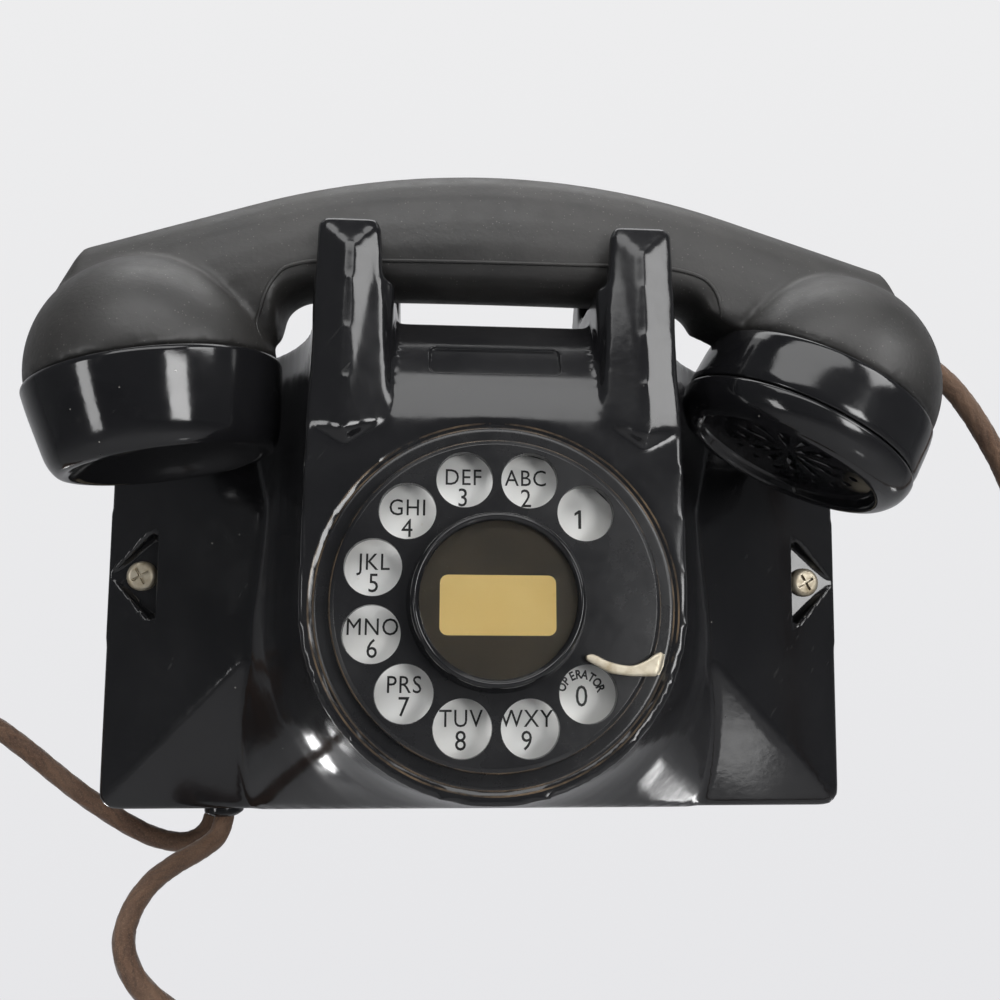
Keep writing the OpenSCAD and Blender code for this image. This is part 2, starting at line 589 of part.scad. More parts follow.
// ---- Hook switch ----
lever_z = 36;
pivot_y = 48;
lever_r = 1.5;
arm_x = 36.5;
nose_gap = 0.5;
bar_top = lever_z + 1.4;
module switch_bracket() color([0.55, 0.56, 0.56]) difference() {
    union() {
        for (s = [-1, 1]) translate([s * side_x - 0.75, -pivot_y - 5, lever_z - 5])
            cube([1.5, pivot_y + 5 - plate_t, 10]);
        translate([-side_x, -plate_t - 1.5, lever_z - 5]) cube([2 * side_x, 1.5, 10]);
        translate([-side_x, -26, lever_z + 3.5]) cube([2 * side_x, 8, 1.5]);
    }
    translate([-50, -pivot_y, lever_z]) rotate([0, 90, 0]) cylinder(h = 100, r = lever_r + press_fit);
}
module lever_pin() color([0.7, 0.7, 0.7]) translate([-side_x - 2, -pivot_y, lever_z]) rotate([0, 90, 0])
    cylinder(h = 2 * side_x + 4, r = lever_r);
module switch_lever() color([0.6, 0.6, 0.58]) difference() {
    union() {
        translate([-arm_x, -handset_out - 4, bar_top - 2.4]) cube([2 * arm_x, 8, 2.4]);
        for (s = [-1, 1]) translate([s * (arm_x - 1) - 1, -handset_out + 2, bar_top - 2.4])
            cube([2, handset_out - pivot_y - 2, 2.4]);
        for (s = [-1, 1]) translate([s * (arm_x - 1) - 1, -pivot_y, lever_z]) rotate([0, 90, 0])
            cylinder(h = 2, r = 3.2);
        translate([-4, -handset_out + 2, bar_top - 2.4]) cube([8, handset_out - pivot_y - 9, 1.6]);
        translate([-4, -pivot_y - 8.5, bar_top - 2.4]) cube([8, 1.5, 6.2]);
    }
    translate([-50, -pivot_y, lever_z]) rotate([0, 90, 0]) cylinder(h = 100, r = lever_r + run_fit);
}
module switch_springs() color([0.75, 0.62, 0.35]) {
    translate([-7, -26, lever_z + 5]) cube([14, 8, 9]);
    for (z = [7, 9.5, 12]) translate([-5, -56, lever_z + z]) cube([10, 30.5, 0.4]);
}
collar_z = deck_z - wall - 6;
module plunger() {
    translate([0, 0, collar_z]) cylinder(h = saddle_z - collar_z - 0.2, r = plunger_r);
    translate([0, 0, collar_z - 0.2]) cylinder(h = 1, r = plunger_r + 1.4);
    translate([0, 0, bar_top + nose_gap + 2]) cylinder(h = collar_z - bar_top - nose_gap - 2, r = 2);
    translate([0, 0, bar_top + nose_gap]) cylinder(h = 2.5, r = 1);
}
module plunger_left() color([0.7, 0.7, 0.68]) translate([-plunger_x, -handset_out, 0]) plunger();
module plunger_right() color([0.7, 0.7, 0.68]) translate([plunger_x, -handset_out, 0]) plunger();

// ---- Handset ----
ear_at = [-83.2, 49];
ear_tilt = -10.8;
mouth_at = [85.2, 50];
mouth_tilt = 28;
bowl_r = ear_r - 0.9;
mouth_bowl_r = mouth_r - 0.6;
module at_ear() translate([ear_at[0], -handset_out, ear_at[1]]) rotate([0, ear_tilt, 0]) children();
module at_mouth() translate([mouth_at[0], -handset_out, mouth_at[1]]) rotate([0, mouth_tilt, 0]) children();
// Top line of the handle: an arc of 200 mm radius, then straight to the ends, then down
arch_r = 200;
straight_x = 60;
end_x = 101;
arc_drop = arch_r - sqrt(arch_r * arch_r - straight_x * straight_x);
arc_slope = straight_x / sqrt(arch_r * arch_r - straight_x * straight_x);
function top_z(x) = let (a = abs(x)) arch_z - (a < straight_x ? arch_r - sqrt(arch_r * arch_r - a * a)
    : arc_drop + arc_slope * (a - straight_x)) - (a > end_x ? 2.1 * (a - end_x) : 0);
bend_x = 45;
inner_x = 53.5;
function under_z(x) = let (a = abs(x)) a < bend_x ? grip_z
    : a < inner_x ? grip_z - 9 + sqrt(max(0, 81 - pow((a - bend_x) * 9 / (inner_x - bend_x), 2)))
    : grip_z - 12;
function widest_z(x) = max(under_z(x) + 1, top_z(x) - 22.2);
handle_sides = 20;
function handle_ring(x) = let (zt = top_z(x), zw = widest_z(x), zu = min(under_z(x), zw - 1))
    [for (i = [0:handle_sides - 1]) let (a = 360 * i / handle_sides, s = sin(a))
        [x, -handset_out + grip_w * cos(a), s >= 0 ? zw + (zt - zw) * s : zw - (zw - zu) * pow(-s, 0.7)]];
handle_xs = concat([-105, -101, -96, -90, -84, -78, -72, -66, -60, -55, -53.6, -53, -52, -50.5, -48.5, -46.5],
    [for (x = [-44:4:44]) x],
    [46.5, 48.5, 50.5, 52, 53, 53.6, 55, 60, 66, 72, 78, 84, 90, 96, 101, 105]);
// A closed skin through rings of points that all have n points
module skin(rings, n) {
    m = len(rings);
    polyhedron(points = [for (r = rings) for (p = r) p],
        faces = concat([[for (i = [0:n - 1]) i]],
            [for (k = [0:m - 2]) for (i = [0:n - 1]) let (a = k * n + i, b = k * n + (i + 1) % n)
                each [[a, a + n, b], [b, a + n, b + n]]],
            [[for (i = [n - 1:-1:0]) (m - 1) * n + i]]), convexity = 6);
}
neck_r = 27.2;
neck_in = 25;
neck_len = 6;
pocket_d = 13;
sleeve_at = [107, -handset_out + 12, 67];
sleeve_dip = 25;
module at_sleeve() translate(sleeve_at) rotate([0, 90 + sleeve_dip, 0]) children();
module handset_handle() color([0.13, 0.13, 0.13]) difference() {
    union() {
        difference() {
            union() {
                skin([for (x = handle_xs) handle_ring(x)], handle_sides);
                at_ear() sphere(r = bowl_r);
                at_mouth() sphere(r = mouth_bowl_r);
            }
            at_ear() translate([0, 0, -50]) cylinder(h = 50, r = 45);
            at_mouth() translate([0, 0, -50]) cylinder(h = 50, r = 45);
        }
        at_ear() translate([0, 0, -neck_len]) cylinder(h = neck_len + 1, r = neck_r);
        at_mouth() translate([0, 0, -neck_len]) cylinder(h = neck_len + 1, r = neck_r);
    }
    at_ear() translate([0, 0, -neck_len - 1]) cylinder(h = neck_len + 1 + pocket_d, r = neck_in);
    at_mouth() translate([0, 0, -neck_len - 1]) cylinder(h = neck_len + 1 + pocket_d, r = neck_in);
    at_sleeve() translate([0, 0, -7.2]) cylinder(h = 30, r = sleeve_r + press_fit);
}
dish_r = 23;
module receiver_cap() color([0.06, 0.06, 0.07]) at_ear() difference() {
    rotate_extrude() polygon([[0, -gap], [ear_r - 0.6, -gap], [ear_r, -1.2], [ear_r - 3.4, -ear_h + 3],
        [ear_r - 4.6, -ear_h + 1], [ear_r - 6.6, -ear_h], [dish_r + 1, -ear_h], [dish_r - 1, -ear_h + 0.8],
        [dish_r - 6, -ear_h + 4.2], [dish_r - 14, -ear_h + 6.4], [0, -ear_h + 7]]);
    translate([0, 0, -neck_len - 0.4]) cylinder(h = 10, r = neck_r + press_fit + 0.02);
    translate([0, 0, -ear_h + 9.5]) cylinder(h = 20, r = neck_in + 0.2);
    for (p = concat([[0, 0]], [for (a = [0:60:300]) [5 * cos(a), 5 * sin(a)]]))
        translate([p[0], p[1], -ear_h - 1]) cylinder(h = 14, r = 1.1);
}
unit_low = -ear_h + 9.8;
module receiver_unit() color([0.5, 0.5, 0.48]) at_ear() {
    translate([0, 0, unit_low]) cylinder(h = 8, r = neck_in - 0.4);
    translate([0, 0, unit_low]) cylinder(h = 17, r = 19);
}
module contacts() {
    difference() {
        translate([0, 0, pocket_d - 4]) cylinder(h = 4, r = 15);
        translate([0, 0, pocket_d - 5]) cylinder(h = 3.5, r = 12);
    }
    for (s = [-1, 1]) translate([s * 6 - 1.5, -4, pocket_d - 4.8]) cube([3, 8, 4]);
}
module receiver_contacts() color([0.4, 0.28, 0.16]) at_ear() contacts();
module transmitter_contacts() color([0.4, 0.28, 0.16]) at_mouth() contacts();
module transmitter_collar() color([0.12, 0.12, 0.12]) at_mouth() difference() {
    rotate_extrude() polygon([[0, -gap], [mouth_r - 0.4, -gap], [mouth_r, -0.8], [mouth_r + 0.7, -3],
        [cap_r - 0.1, -collar_h + 1], [cap_r - 0.4, -collar_h], [0, -collar_h]]);
    translate([0, 0, -neck_len - 0.4]) cylinder(h = 10, r = neck_r + press_fit + 0.02);
    translate([0, 0, -collar_h - 1]) cylinder(h = 40, r = neck_in + 0.2);
}
cap_r = mouth_r + 0.9;
grille_r = 24;
module transmitter_cap() color([0.06, 0.06, 0.07]) at_mouth() translate([0, 0, -collar_h]) difference() {
    rotate_extrude() polygon([[0, -gap], [cap_r - 0.5, -gap], [cap_r, -0.9], [cap_r - 0.1, -2.4],
        [cap_r - 0.8, 3.8 - mouth_h], [cap_r - 2.2, 1.8 - mouth_h], [cap_r - 4.4, 0.4 - mouth_h],
        [grille_r + 0.6, -mouth_h], [grille_r - 0.2, -mouth_h + 0.8], [grille_r - 1, -mouth_h + 3.4],
        [0, -mouth_h + 4.4]]);
    translate([0, 0, -mouth_h + 6.6]) cylinder(h = 20, r = neck_in);
    for (k = [1:3]) for (i = [0:6 * k - 1]) rotate(60 * i / k) translate([5.8 * k, 0, -mouth_h])
        cylinder(h = 9, r = 1);
}
mouth_unit_low = -collar_h - mouth_h + 6.9;
module transmitter_unit() color([0.52, 0.5, 0.46]) at_mouth() {
    translate([0, 0, mouth_unit_low]) cylinder(h = 9, r = neck_in - 0.4);
    translate([0, 0, mouth_unit_low]) cylinder(h = 21, r = 17);
}

// ---- Cords ----
sleeve_r = cord_r + 1.2;
sleeve_len = 9;
module cord_sleeve() color([0.1, 0.1, 0.1]) at_sleeve() difference() {
    union() {
        translate([0, 0, -7]) cylinder(h = 7 + sleeve_len, r = sleeve_r);
        translate([0, 0, sleeve_len]) cylinder(h = 3, r1 = sleeve_r, r2 = sleeve_r - 0.6);
    }
    translate([0, 0, -5]) cylinder(h = 40, r = cord_r + 0.1);
}
module cord_bushings() color([0.08, 0.08, 0.08]) for (p = [handset_cord_out, line_cord_out])
    translate([p[0], p[1], -box_h / 2]) rotate_extrude()
        polygon([[cord_r + 0.1, -3], [bushing_r - 0.4, -3], [bushing_r + 1, -2], [bushing_r + 1, 0],
            [bushing_r, 0], [bushing_r, wall], [bushing_r + 1, wall], [bushing_r + 1, wall + 1.5],
            [cord_r + 0.1, wall + 1.5]]);
clamp_z = -box_h / 2 + wall + 4;
module cord_clamp() color([0.55, 0.56, 0.56]) difference() {
    union() {
        translate([-96, -plate_t - 4, clamp_z]) cube([26, 4, 5]);
        translate([-84, -26, clamp_z]) cube([14, 26 - plate_t, 5]);
    }
    for (p = [handset_cord_out, line_cord_out]) translate([p[0], p[1], clamp_z - 1])
        cylinder(h = 8, r = cord_r + 0.1);
}
handset_coil_at = [20, -58, -172];
handset_coil_r = 31.6;
handset_coil_wide = 5.5 * cord_d;
line_coil_at = [-196, -17.2, -84];
line_coil_r = 28.4;
line_coil_wide = 5.6 * cord_d;
// Routes, chosen by hand; the first and last two points are where each cord is held
handset_route = [[103.4, -64, 68.7], [118.8, -64, 61.5], [123, -63.5, 59.1], [128.3, -63, 54.7],
    [133.9, -62, 48.4], [139.4, -61, 40.4], [144, -60.5, 32], [148.8, -60, 19], [152, -60, 2],
    [153, -60, -26], [153, -60, -54], [151, -60, -80], [147, -60, -100], [138, -60, -117],
    [124, -61, -129], [107, -62, -137], [90, -63, -142], [70, -64, -148], [51, -64, -156.2]];
tail_route = [[-9.5, -51, -153.5], [-18, -51, -148.5], [-28, -52, -142.5], [-43, -53, -133],
    [-61, -54.5, -121.5], [-76, -55.5, -111.5], [-87, -55, -103], [-92, -52, -94.5], [-92, -47, -87.5],
    [-89, -41, -82], [-84.5, -33.5, -79], [-79.5, -27, -77], [-75.8, -22, -74.4],
    [-74.5, -20, -70], [-74.5, -20, -66.6], [-74.5, -20, -52]];
line_route = [[-79.5, -9.3, -52], [-79.5, -9.3, -66.6], [-79.5, -9.3, -70], [-82, -9.3, -76],
    [-88, -9.3, -79], [-96, -9.3, -77.9], [-104, -9.3, -74.4], [-112, -9.3, -69.6], [-120, -9.3, -64.2],
    [-128, -9.3, -58.1], [-137, -9.3, -51], [-146, -10, -44.2], [-156, -12, -38.4], [-165, -15, -35.8],
    [-174, -18, -36.8], [-182, -20, -41.6], [-186.8, -20.5, -50.6]];
function bezier_step(p, i, t) = let (n = len(p) - 1, a = p[max(i - 1, 0)], b = p[i], c = p[i + 1],
    d = p[min(i + 2, n)]) 0.5 * (2 * b + (c - a) * t + (2 * a - 5 * b + 4 * c - d) * t * t
    + (3 * b - a - 3 * c + d) * t * t * t);
function smooth(p, k) = concat([for (i = [0:len(p) - 2]) for (j = [0:k - 1]) bezier_step(p, i, j / k)],
    [p[len(p) - 1]]);
function unit(v) = v / norm(v);
function tangent(p, i) = unit(p[min(i + 1, len(p) - 1)] - p[max(i - 1, 0)]);
function sideways(v, t) = unit(v - (v * t) * t);
function normals(p, i = 0, v = [0.3, 1, 0.2]) = i == len(p) ? []
    : let (s = sideways(v, tangent(p, i))) concat([s], normals(p, i + 1, s));
module tube(route, k, sides) {
    p = smooth(route, k);
    ns = normals(p);
    skin([for (i = [0:len(p) - 1]) let (t = tangent(p, i), u = ns[i], v = cross(t, u))
        [for (j = [0:sides - 1]) let (a = 360 * j / sides) p[i] + cord_r * (cos(a) * u + sin(a) * v)]], sides);
}
// A coiled hank as one ring whose section is a rectangle with its corners cut off
module coil(at, mid_r, wide, deep) {
    cut = cord_r * 0.6;
    x = deep / 2;
    y = wide / 2;
    translate(at) rotate([90, 0, 0]) rotate_extrude() translate([mid_r, 0]) polygon([[cut - x, -y],
        [x - cut, -y], [x, cut - y], [x, y - cut], [x - cut, y], [cut - x, y], [-x, y - cut], [-x, cut - y]]);
}
cord_brown = [0.26, 0.17, 0.12];
module handset_cord() color(cord_brown) tube(handset_route, 2, 10);
module handset_cord_tail() color(cord_brown) tube(tail_route, 1, 10);
module handset_cord_coil() color(cord_brown) coil(handset_coil_at, handset_coil_r, handset_coil_wide, cord_d);
module line_cord() color(cord_brown) tube(line_route, 1, 10);
module line_cord_coil() color(cord_brown) coil(line_coil_at, line_coil_r, line_coil_wide, 2 * cord_d);
module line_lugs() color([0.7, 0.66, 0.56]) translate(line_coil_at + [20, -15, -30]) {
    translate([0, 0, -14]) cylinder(h = 14, r = cord_r + 0.3);
    for (s = [-1, 0, 1]) translate([s * 5, 0, -13]) rotate([0, s * -14, 0]) translate([0, 0, -16]) {
        cylinder(h = 16, r = 1.1);
        translate([-2.6, -0.4, -7]) cube([5.2, 0.8, 8]);
    }
}

housing();
back_plate();
housing_screws();
dial_cup();
number_plate();
finger_stop();
dial_frame();
dial_pillars();
return_spring();
pulse_springs();
governor_cup();
finger_wheel();
card_ring();
number_card();
card_window();
dial_spindle();
main_gear();
pulse_cam();
pinion_wheel();
governor();
dial_screws();
ringer_frame();
ringer_coils();
ringer_magnet();
ringer_yoke();
gongs();
gong_screws();
clapper();
induction_coil();
condenser();
condenser_strap();
terminal_board();
terminal_screws();
switch_bracket();
switch_springs();
switch_lever();
lever_pin();
plunger_left();
plunger_right();
cord_bushings();
cord_clamp();
handset_handle();
receiver_cap();
receiver_unit();
receiver_contacts();
transmitter_collar();
transmitter_cap();
transmitter_unit();
transmitter_contacts();
cord_sleeve();
handset_cord();
handset_cord_coil();
handset_cord_tail();
line_cord();
line_cord_coil();
line_lugs();
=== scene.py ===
import bpy
import bmesh
import json
import math
import numpy as np
from mathutils import Matrix, Vector
from mathutils.bvhtree import BVHTree
from mathutils.kdtree import KDTree

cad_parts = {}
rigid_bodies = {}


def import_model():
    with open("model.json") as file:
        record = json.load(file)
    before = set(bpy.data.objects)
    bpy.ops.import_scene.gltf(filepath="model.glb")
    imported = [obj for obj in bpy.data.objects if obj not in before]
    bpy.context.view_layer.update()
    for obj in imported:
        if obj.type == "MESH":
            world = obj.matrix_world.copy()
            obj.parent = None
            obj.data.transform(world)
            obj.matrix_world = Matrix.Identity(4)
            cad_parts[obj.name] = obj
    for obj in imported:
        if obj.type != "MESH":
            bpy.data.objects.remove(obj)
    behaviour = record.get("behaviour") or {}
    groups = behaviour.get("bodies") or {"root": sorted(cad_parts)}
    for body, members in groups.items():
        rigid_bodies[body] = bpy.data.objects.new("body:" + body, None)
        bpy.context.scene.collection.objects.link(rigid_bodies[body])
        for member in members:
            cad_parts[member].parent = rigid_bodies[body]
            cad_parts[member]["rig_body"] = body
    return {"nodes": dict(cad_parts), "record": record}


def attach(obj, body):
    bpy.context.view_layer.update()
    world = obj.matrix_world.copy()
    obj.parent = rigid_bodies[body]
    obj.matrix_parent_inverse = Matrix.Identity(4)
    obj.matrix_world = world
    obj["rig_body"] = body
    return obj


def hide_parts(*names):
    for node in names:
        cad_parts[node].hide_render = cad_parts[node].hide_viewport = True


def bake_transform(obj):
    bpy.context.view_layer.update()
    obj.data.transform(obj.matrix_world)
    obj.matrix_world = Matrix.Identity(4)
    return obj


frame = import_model()
nodes = frame["nodes"]
scene = bpy.context.scene
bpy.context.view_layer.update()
mm = 0.001
dialFace = {"centre": (0, -101.6, -5.2), "lean": 5.6}  # millimetres, degrees back from upright

print("camera")
camera = {"place": (-0.0134, -0.3126, -0.0031), "right": (0.9977, -0.0669, 0.0076),
          "up": (-0.0162, -0.0972, 0.9952), "look": (0.0654, 0.9930, 0.0977), "lens": 34.2, "sensor": 36}
cameraData = bpy.data.cameras.new("camera")
cameraData.lens, cameraData.sensor_width = camera["lens"], camera["sensor"]
cameraData.clip_start = 0.01
cameraObject = bpy.data.objects.new("camera", cameraData)
cameraObject.matrix_world = Matrix.Translation(camera["place"]) @ Matrix(
    (camera["right"], camera["up"], [-x for x in camera["look"]])).transposed().to_4x4()
scene.collection.objects.link(cameraObject)
scene.camera = cameraObject
scene.view_settings.view_transform = "Standard"


def addObject(name, mesh, body=None):
    made = bpy.data.objects.new(name, mesh)
    scene.collection.objects.link(made)
    if body:
        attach(made, body)
    return made


def gridMesh(name, points, closeAcross=False, closeAlong=False):
    # points is rows x columns x 3; quads join neighbouring rows and columns
    rows, columns = points.shape[:2]
    index = np.arange(rows * columns).reshape(rows, columns)
    if closeAcross:
        index = np.concatenate([index, index[:, :1]], 1)
    if closeAlong:
        index = np.concatenate([index, index[:1]], 0)
    quads = np.stack([index[:-1, :-1], index[:-1, 1:], index[1:, 1:], index[1:, :-1]], -1).reshape(-1, 4)
    mesh = bpy.data.meshes.new(name)
    mesh.from_pydata(points.reshape(-1, 3).tolist(), [], quads.tolist())
    mesh.shade_smooth()
    return mesh


def smoothCurve(points, perSpan):
    # Catmull-Rom through the points: p(t) = (2b + (c-a)t + (2a-5b+4c-d)t^2 + (3b-a-3c+d)t^3) / 2
    p = np.asarray(points, float)
    p = np.vstack([p[:1], p, p[-1:]])
    t = np.linspace(0, 1, perSpan, endpoint=False)[None, :, None]
    a, b, c, d = (p[i:len(p) - 3 + i][:, None] for i in range(4))
    curve = (2 * b + (c - a) * t + (2 * a - 5 * b + 4 * c - d) * t ** 2 + (3 * b - a - 3 * c + d) * t ** 3) / 2
    return np.vstack([curve.reshape(-1, p.shape[1]), p[-1:]])


def evenly(points, step):
    # points at equal distances along a path, and the path's length
    lengths = np.concatenate([[0], np.cumsum(np.linalg.norm(np.diff(points, axis=0), axis=1))])
    at = np.linspace(0, lengths[-1], max(2, int(round(lengths[-1] / step)) + 1))
    return np.stack([np.interp(at, lengths, points[:, i]) for i in range(points.shape[1])], 1), lengths[-1]


def crossways(path):
    # two unit directions across a path: side is Y less its part along the path, third is tangent x side
    tangent = np.gradient(path, axis=0)
    tangent /= np.linalg.norm(tangent, axis=1)[:, None]
    side = np.array([0, 1.0, 0]) - tangent * tangent[:, 1:2]
    side /= np.linalg.norm(side, axis=1)[:, None]
    return side, np.cross(tangent, side)


def stepsFromEnd(path):
    # how many points lie between each point and the nearer end
    return np.minimum(np.arange(len(path)), np.arange(len(path))[::-1])


def place(point, degrees, axis):
    return Matrix.Translation(Vector(point) * mm) @ Matrix.Rotation(math.radians(degrees), 4, axis)


def dress(made, material):
    made.data.materials.clear()
    made.data.materials.append(material)


def evenNormals(made):
    # large faces decide how the edges beside them are shaded
    made.modifiers.new("normals", "WEIGHTED_NORMAL").keep_sharp = False


def countTriangles(mesh):
    return sum(len(face.vertices) - 2 for face in mesh.polygons)


def cadSurface(name):
    # the CAD node as joined flat faces
    work = bmesh.new()
    work.from_mesh(nodes[name].data)
    bmesh.ops.remove_doubles(work, verts=work.verts, dist=2e-6)
    bmesh.ops.dissolve_limit(work, angle_limit=math.radians(0.6), verts=work.verts, edges=work.edges)
    return work


def fineCopy(name, width, angle=25, segments=3):
    # a copy of a CAD node with its edges rounded
    mesh = nodes[name].data.copy()
    mesh.materials.clear()
    work = cadSurface(name)
    work.to_mesh(mesh)
    work.free()
    mesh.shade_smooth()
    made = addObject(name + "Look", mesh, nodes[name]["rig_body"])
    bevel = made.modifiers.new("bevel", "BEVEL")
    bevel.limit_method, bevel.angle_limit = "ANGLE", math.radians(angle)
    bevel.width, bevel.segments = width * mm, segments
    bevel.use_clamp_overlap = True
    evenNormals(made)
    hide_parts(name)
    return made


def settle(made):
    # the object's modifiers become its mesh
    mesh = bpy.data.meshes.new_from_object(made.evaluated_get(bpy.context.evaluated_depsgraph_get()))
    made.modifiers.clear()
    made.data = mesh


def softCopy(name, voxel, rounds):
    # a copy of a CAD node with one closed skin and softened edges
    mesh = nodes[name].data.copy()
    mesh.materials.clear()
    made = addObject(name + "Look", mesh, nodes[name]["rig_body"])
    skin = made.modifiers.new("skin", "REMESH")
    skin.mode, skin.voxel_size, skin.use_smooth_shade = "VOXEL", voxel * mm, True
    soft = made.modifiers.new("soft", "SMOOTH")
    soft.factor, soft.iterations = 0.5, rounds
    settle(made)
    made.data.shade_smooth()
    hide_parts(name)
    return made


def edgeMarks(work, step=0.6, bend=1.5):
    # points at most step mm apart on every edge of a CAD surface that bends more than so many degrees
    ends = np.array([[edge.verts[0].co[:], edge.verts[1].co[:]] for edge in work.edges
                     if len(edge.link_faces) == 2 and edge.calc_face_angle(0) > math.radians(bend)])
    counts = np.maximum(2, np.ceil(np.linalg.norm(ends[:, 1] - ends[:, 0], axis=1) / (step * mm)).astype(int))
    which = np.repeat(np.arange(len(ends)), counts)
    share = (np.arange(len(which)) - np.repeat(np.cumsum(counts) - counts, counts)) / (counts[which] - 1)
    marks = ends[which, 0] + share[:, None] * (ends[which, 1] - ends[which, 0])
    edges = KDTree(len(marks))
    for index, mark in enumerate(marks):
        edges.insert(mark, index)
    edges.balance()
    return edges


def trueFlats(made, name, nearEdge, farEdge):
    # points far from every edge of the CAD node go back onto its surface; those near an edge stay softened,
    # and between the two distances the share is 3s^2 - 2s^3
    work = cadSurface(name)
    surface, edges = BVHTree.FromBMesh(work), edgeMarks(work)
    work.free()
    for vertex in made.data.vertices:
        away = edges.find(vertex.co)[2] / mm
        if away > nearEdge:
            share = min(1, (away - nearEdge) / (farEdge - nearEdge))
            vertex.co = vertex.co.lerp(surface.find_nearest(vertex.co)[0], share * share * (3 - 2 * share))


def lighter(made, name, farEdge, mostTriangles):
    # fewer triangles on the flats and on the inside of the shell; softened edges keep all of theirs
    work = cadSurface(name)
    surface, edges = BVHTree.FromBMesh(work), edgeMarks(work)
    work.free()
    skin = BVHTree.FromPolygons([vertex.co for vertex in made.data.vertices],
                                [face.vertices for face in made.data.polygons])
    ways = ((0, -1, 0), (1, 0, 0), (-1, 0, 0), (0, 0, 1), (0, 0, -1), (0, -1, 1), (0, -1, -1), (1, -1, 0),
            (-1, -1, 0))
    ways = [Vector(way).normalized() for way in ways]
    spare = []
    for vertex in made.data.vertices:
        start = vertex.co + vertex.normal * 0.2 * mm
        seen = any(vertex.normal.dot(way) > 0.05 and skin.ray_cast(start, way)[0] is None for way in ways)
        flat = edges.find(vertex.co)[2] > farEdge * mm and surface.find_nearest(vertex.co)[3] < 0.01 * mm
        if flat or not seen:
            spare.append(vertex.index)
    made.vertex_groups.new(name="spare").add(spare, 1.0, "REPLACE")
    triangles = countTriangles(made.data)
    fewer = made.modifiers.new("fewer", "DECIMATE")
    fewer.vertex_group, fewer.ratio = "spare", min(1, mostTriangles / triangles)
    settle(made)
    print("  triangles", triangles, "cut to", countTriangles(made.data))


def crisper(made, name, low, high, cuts, rounds):
    # inside one box, on both sides of the centre line, the skin is cut finer, laid on the CAD surface and
    # rounded less
    work = cadSurface(name)
    surface = BVHTree.FromBMesh(work)
    work.free()
    low, high = np.array(low) * mm, np.array(high) * mm

    def depth(point):
        # how far inside the box a point is, in millimetres
        spot = np.array((abs(point[0]), point[1], point[2]))
        return min((spot - low).min(), (high - spot).min()) / mm

    work = bmesh.new()
    work.from_mesh(made.data)
    inside = {vertex for vertex in work.verts if depth(vertex.co) > 0}
    within = [edge for edge in work.edges if inside.issuperset(edge.verts)]
    bmesh.ops.subdivide_edges(work, edges=within, cuts=cuts, use_grid_fill=True)
    finer = []
    for vertex in work.verts:
        far = depth(vertex.co)
        if far > 0:
            vertex.co = vertex.co.lerp(surface.find_nearest(vertex.co)[0], min(1, far / 2))
            if far > 0.6:
                finer.append(vertex)
    for _ in range(rounds):
        bmesh.ops.smooth_vert(work, verts=finer, factor=0.5, use_axis_x=True, use_axis_y=True, use_axis_z=True)
    work.to_mesh(made.data)
    work.free()


def newGroup(name, **values):
    # a node group with one number socket for each value, and one mask out
    group = bpy.data.node_groups.new(name, "ShaderNodeTree")
    for label, value in values.items():
        group.interface.new_socket(label, in_out="INPUT", socket_type="NodeSocketFloat").default_value = value
    group.interface.new_socket("Mask", in_out="OUTPUT", socket_type="NodeSocketFloat")
    return group, group.nodes.new("NodeGroupInput"), group.nodes.new("NodeGroupOutput")


def add(tree, kind, **settings):
    # s_Name or s_0 sets or links a socket by its name or number; other settings are attributes
    made = tree.nodes.new("ShaderNode" + kind)
    for key, value in settings.items():
        if key.startswith("s_"):
            socket = made.inputs[int(key[2:])] if key[2:].isdigit() else made.inputs[key[2:].replace("_", " ")]
            if isinstance(value, bpy.types.NodeSocket):
                tree.links.new(value, socket)
            else:
                socket.default_value = value
        else:
            setattr(made, key, value)
    return made


def ramp(tree, value, low, high, toLow=0.0, toHigh=1.0):
    return add(tree, "MapRange", s_0=value, s_1=low, s_2=high, s_3=toLow, s_4=toHigh).outputs[0]


def times(tree, a, b, kind="MULTIPLY"):
    return add(tree, "Math", operation=kind, s_0=a, s_1=b).outputs[0]


def makeSpecks():
    # scattered small grains: one in each chosen cell
    group, inside, outside = newGroup("specks", Scale=900.0, Share=0.1, Size=0.2)
    spot = add(group, "TexCoord").outputs["Object"]
    cell = add(group, "TexVoronoi", s_Vector=spot, s_Scale=inside.outputs["Scale"])
    chance = add(group, "SeparateColor", s_0=cell.outputs["Color"])
    chosen = times(group, chance.outputs[0], inside.outputs["Share"], "LESS_THAN")
    reach = times(group, inside.outputs["Size"], ramp(group, chance.outputs[1], 0, 1, 0.3, 1.0))
    near = times(group, cell.outputs["Distance"], reach, "LESS_THAN")
    group.links.new(times(group, near, chosen), outside.inputs[0])
    return group


def makeCloud():
    # soft uneven patches, 0 to 1
    group, inside, outside = newGroup("cloud", Scale=30.0, Low=0.4, High=0.7)
    spot = add(group, "TexCoord").outputs["Object"]
    noise = add(group, "TexNoise", s_Vector=spot, s_Scale=inside.outputs["Scale"], s_Detail=6.0,
                s_Roughness=0.6)
    mapped = add(group, "MapRange", s_0=noise.outputs[0], s_1=inside.outputs["Low"], s_2=inside.outputs["High"])
    group.links.new(mapped.outputs[0], outside.inputs[0])
    return group


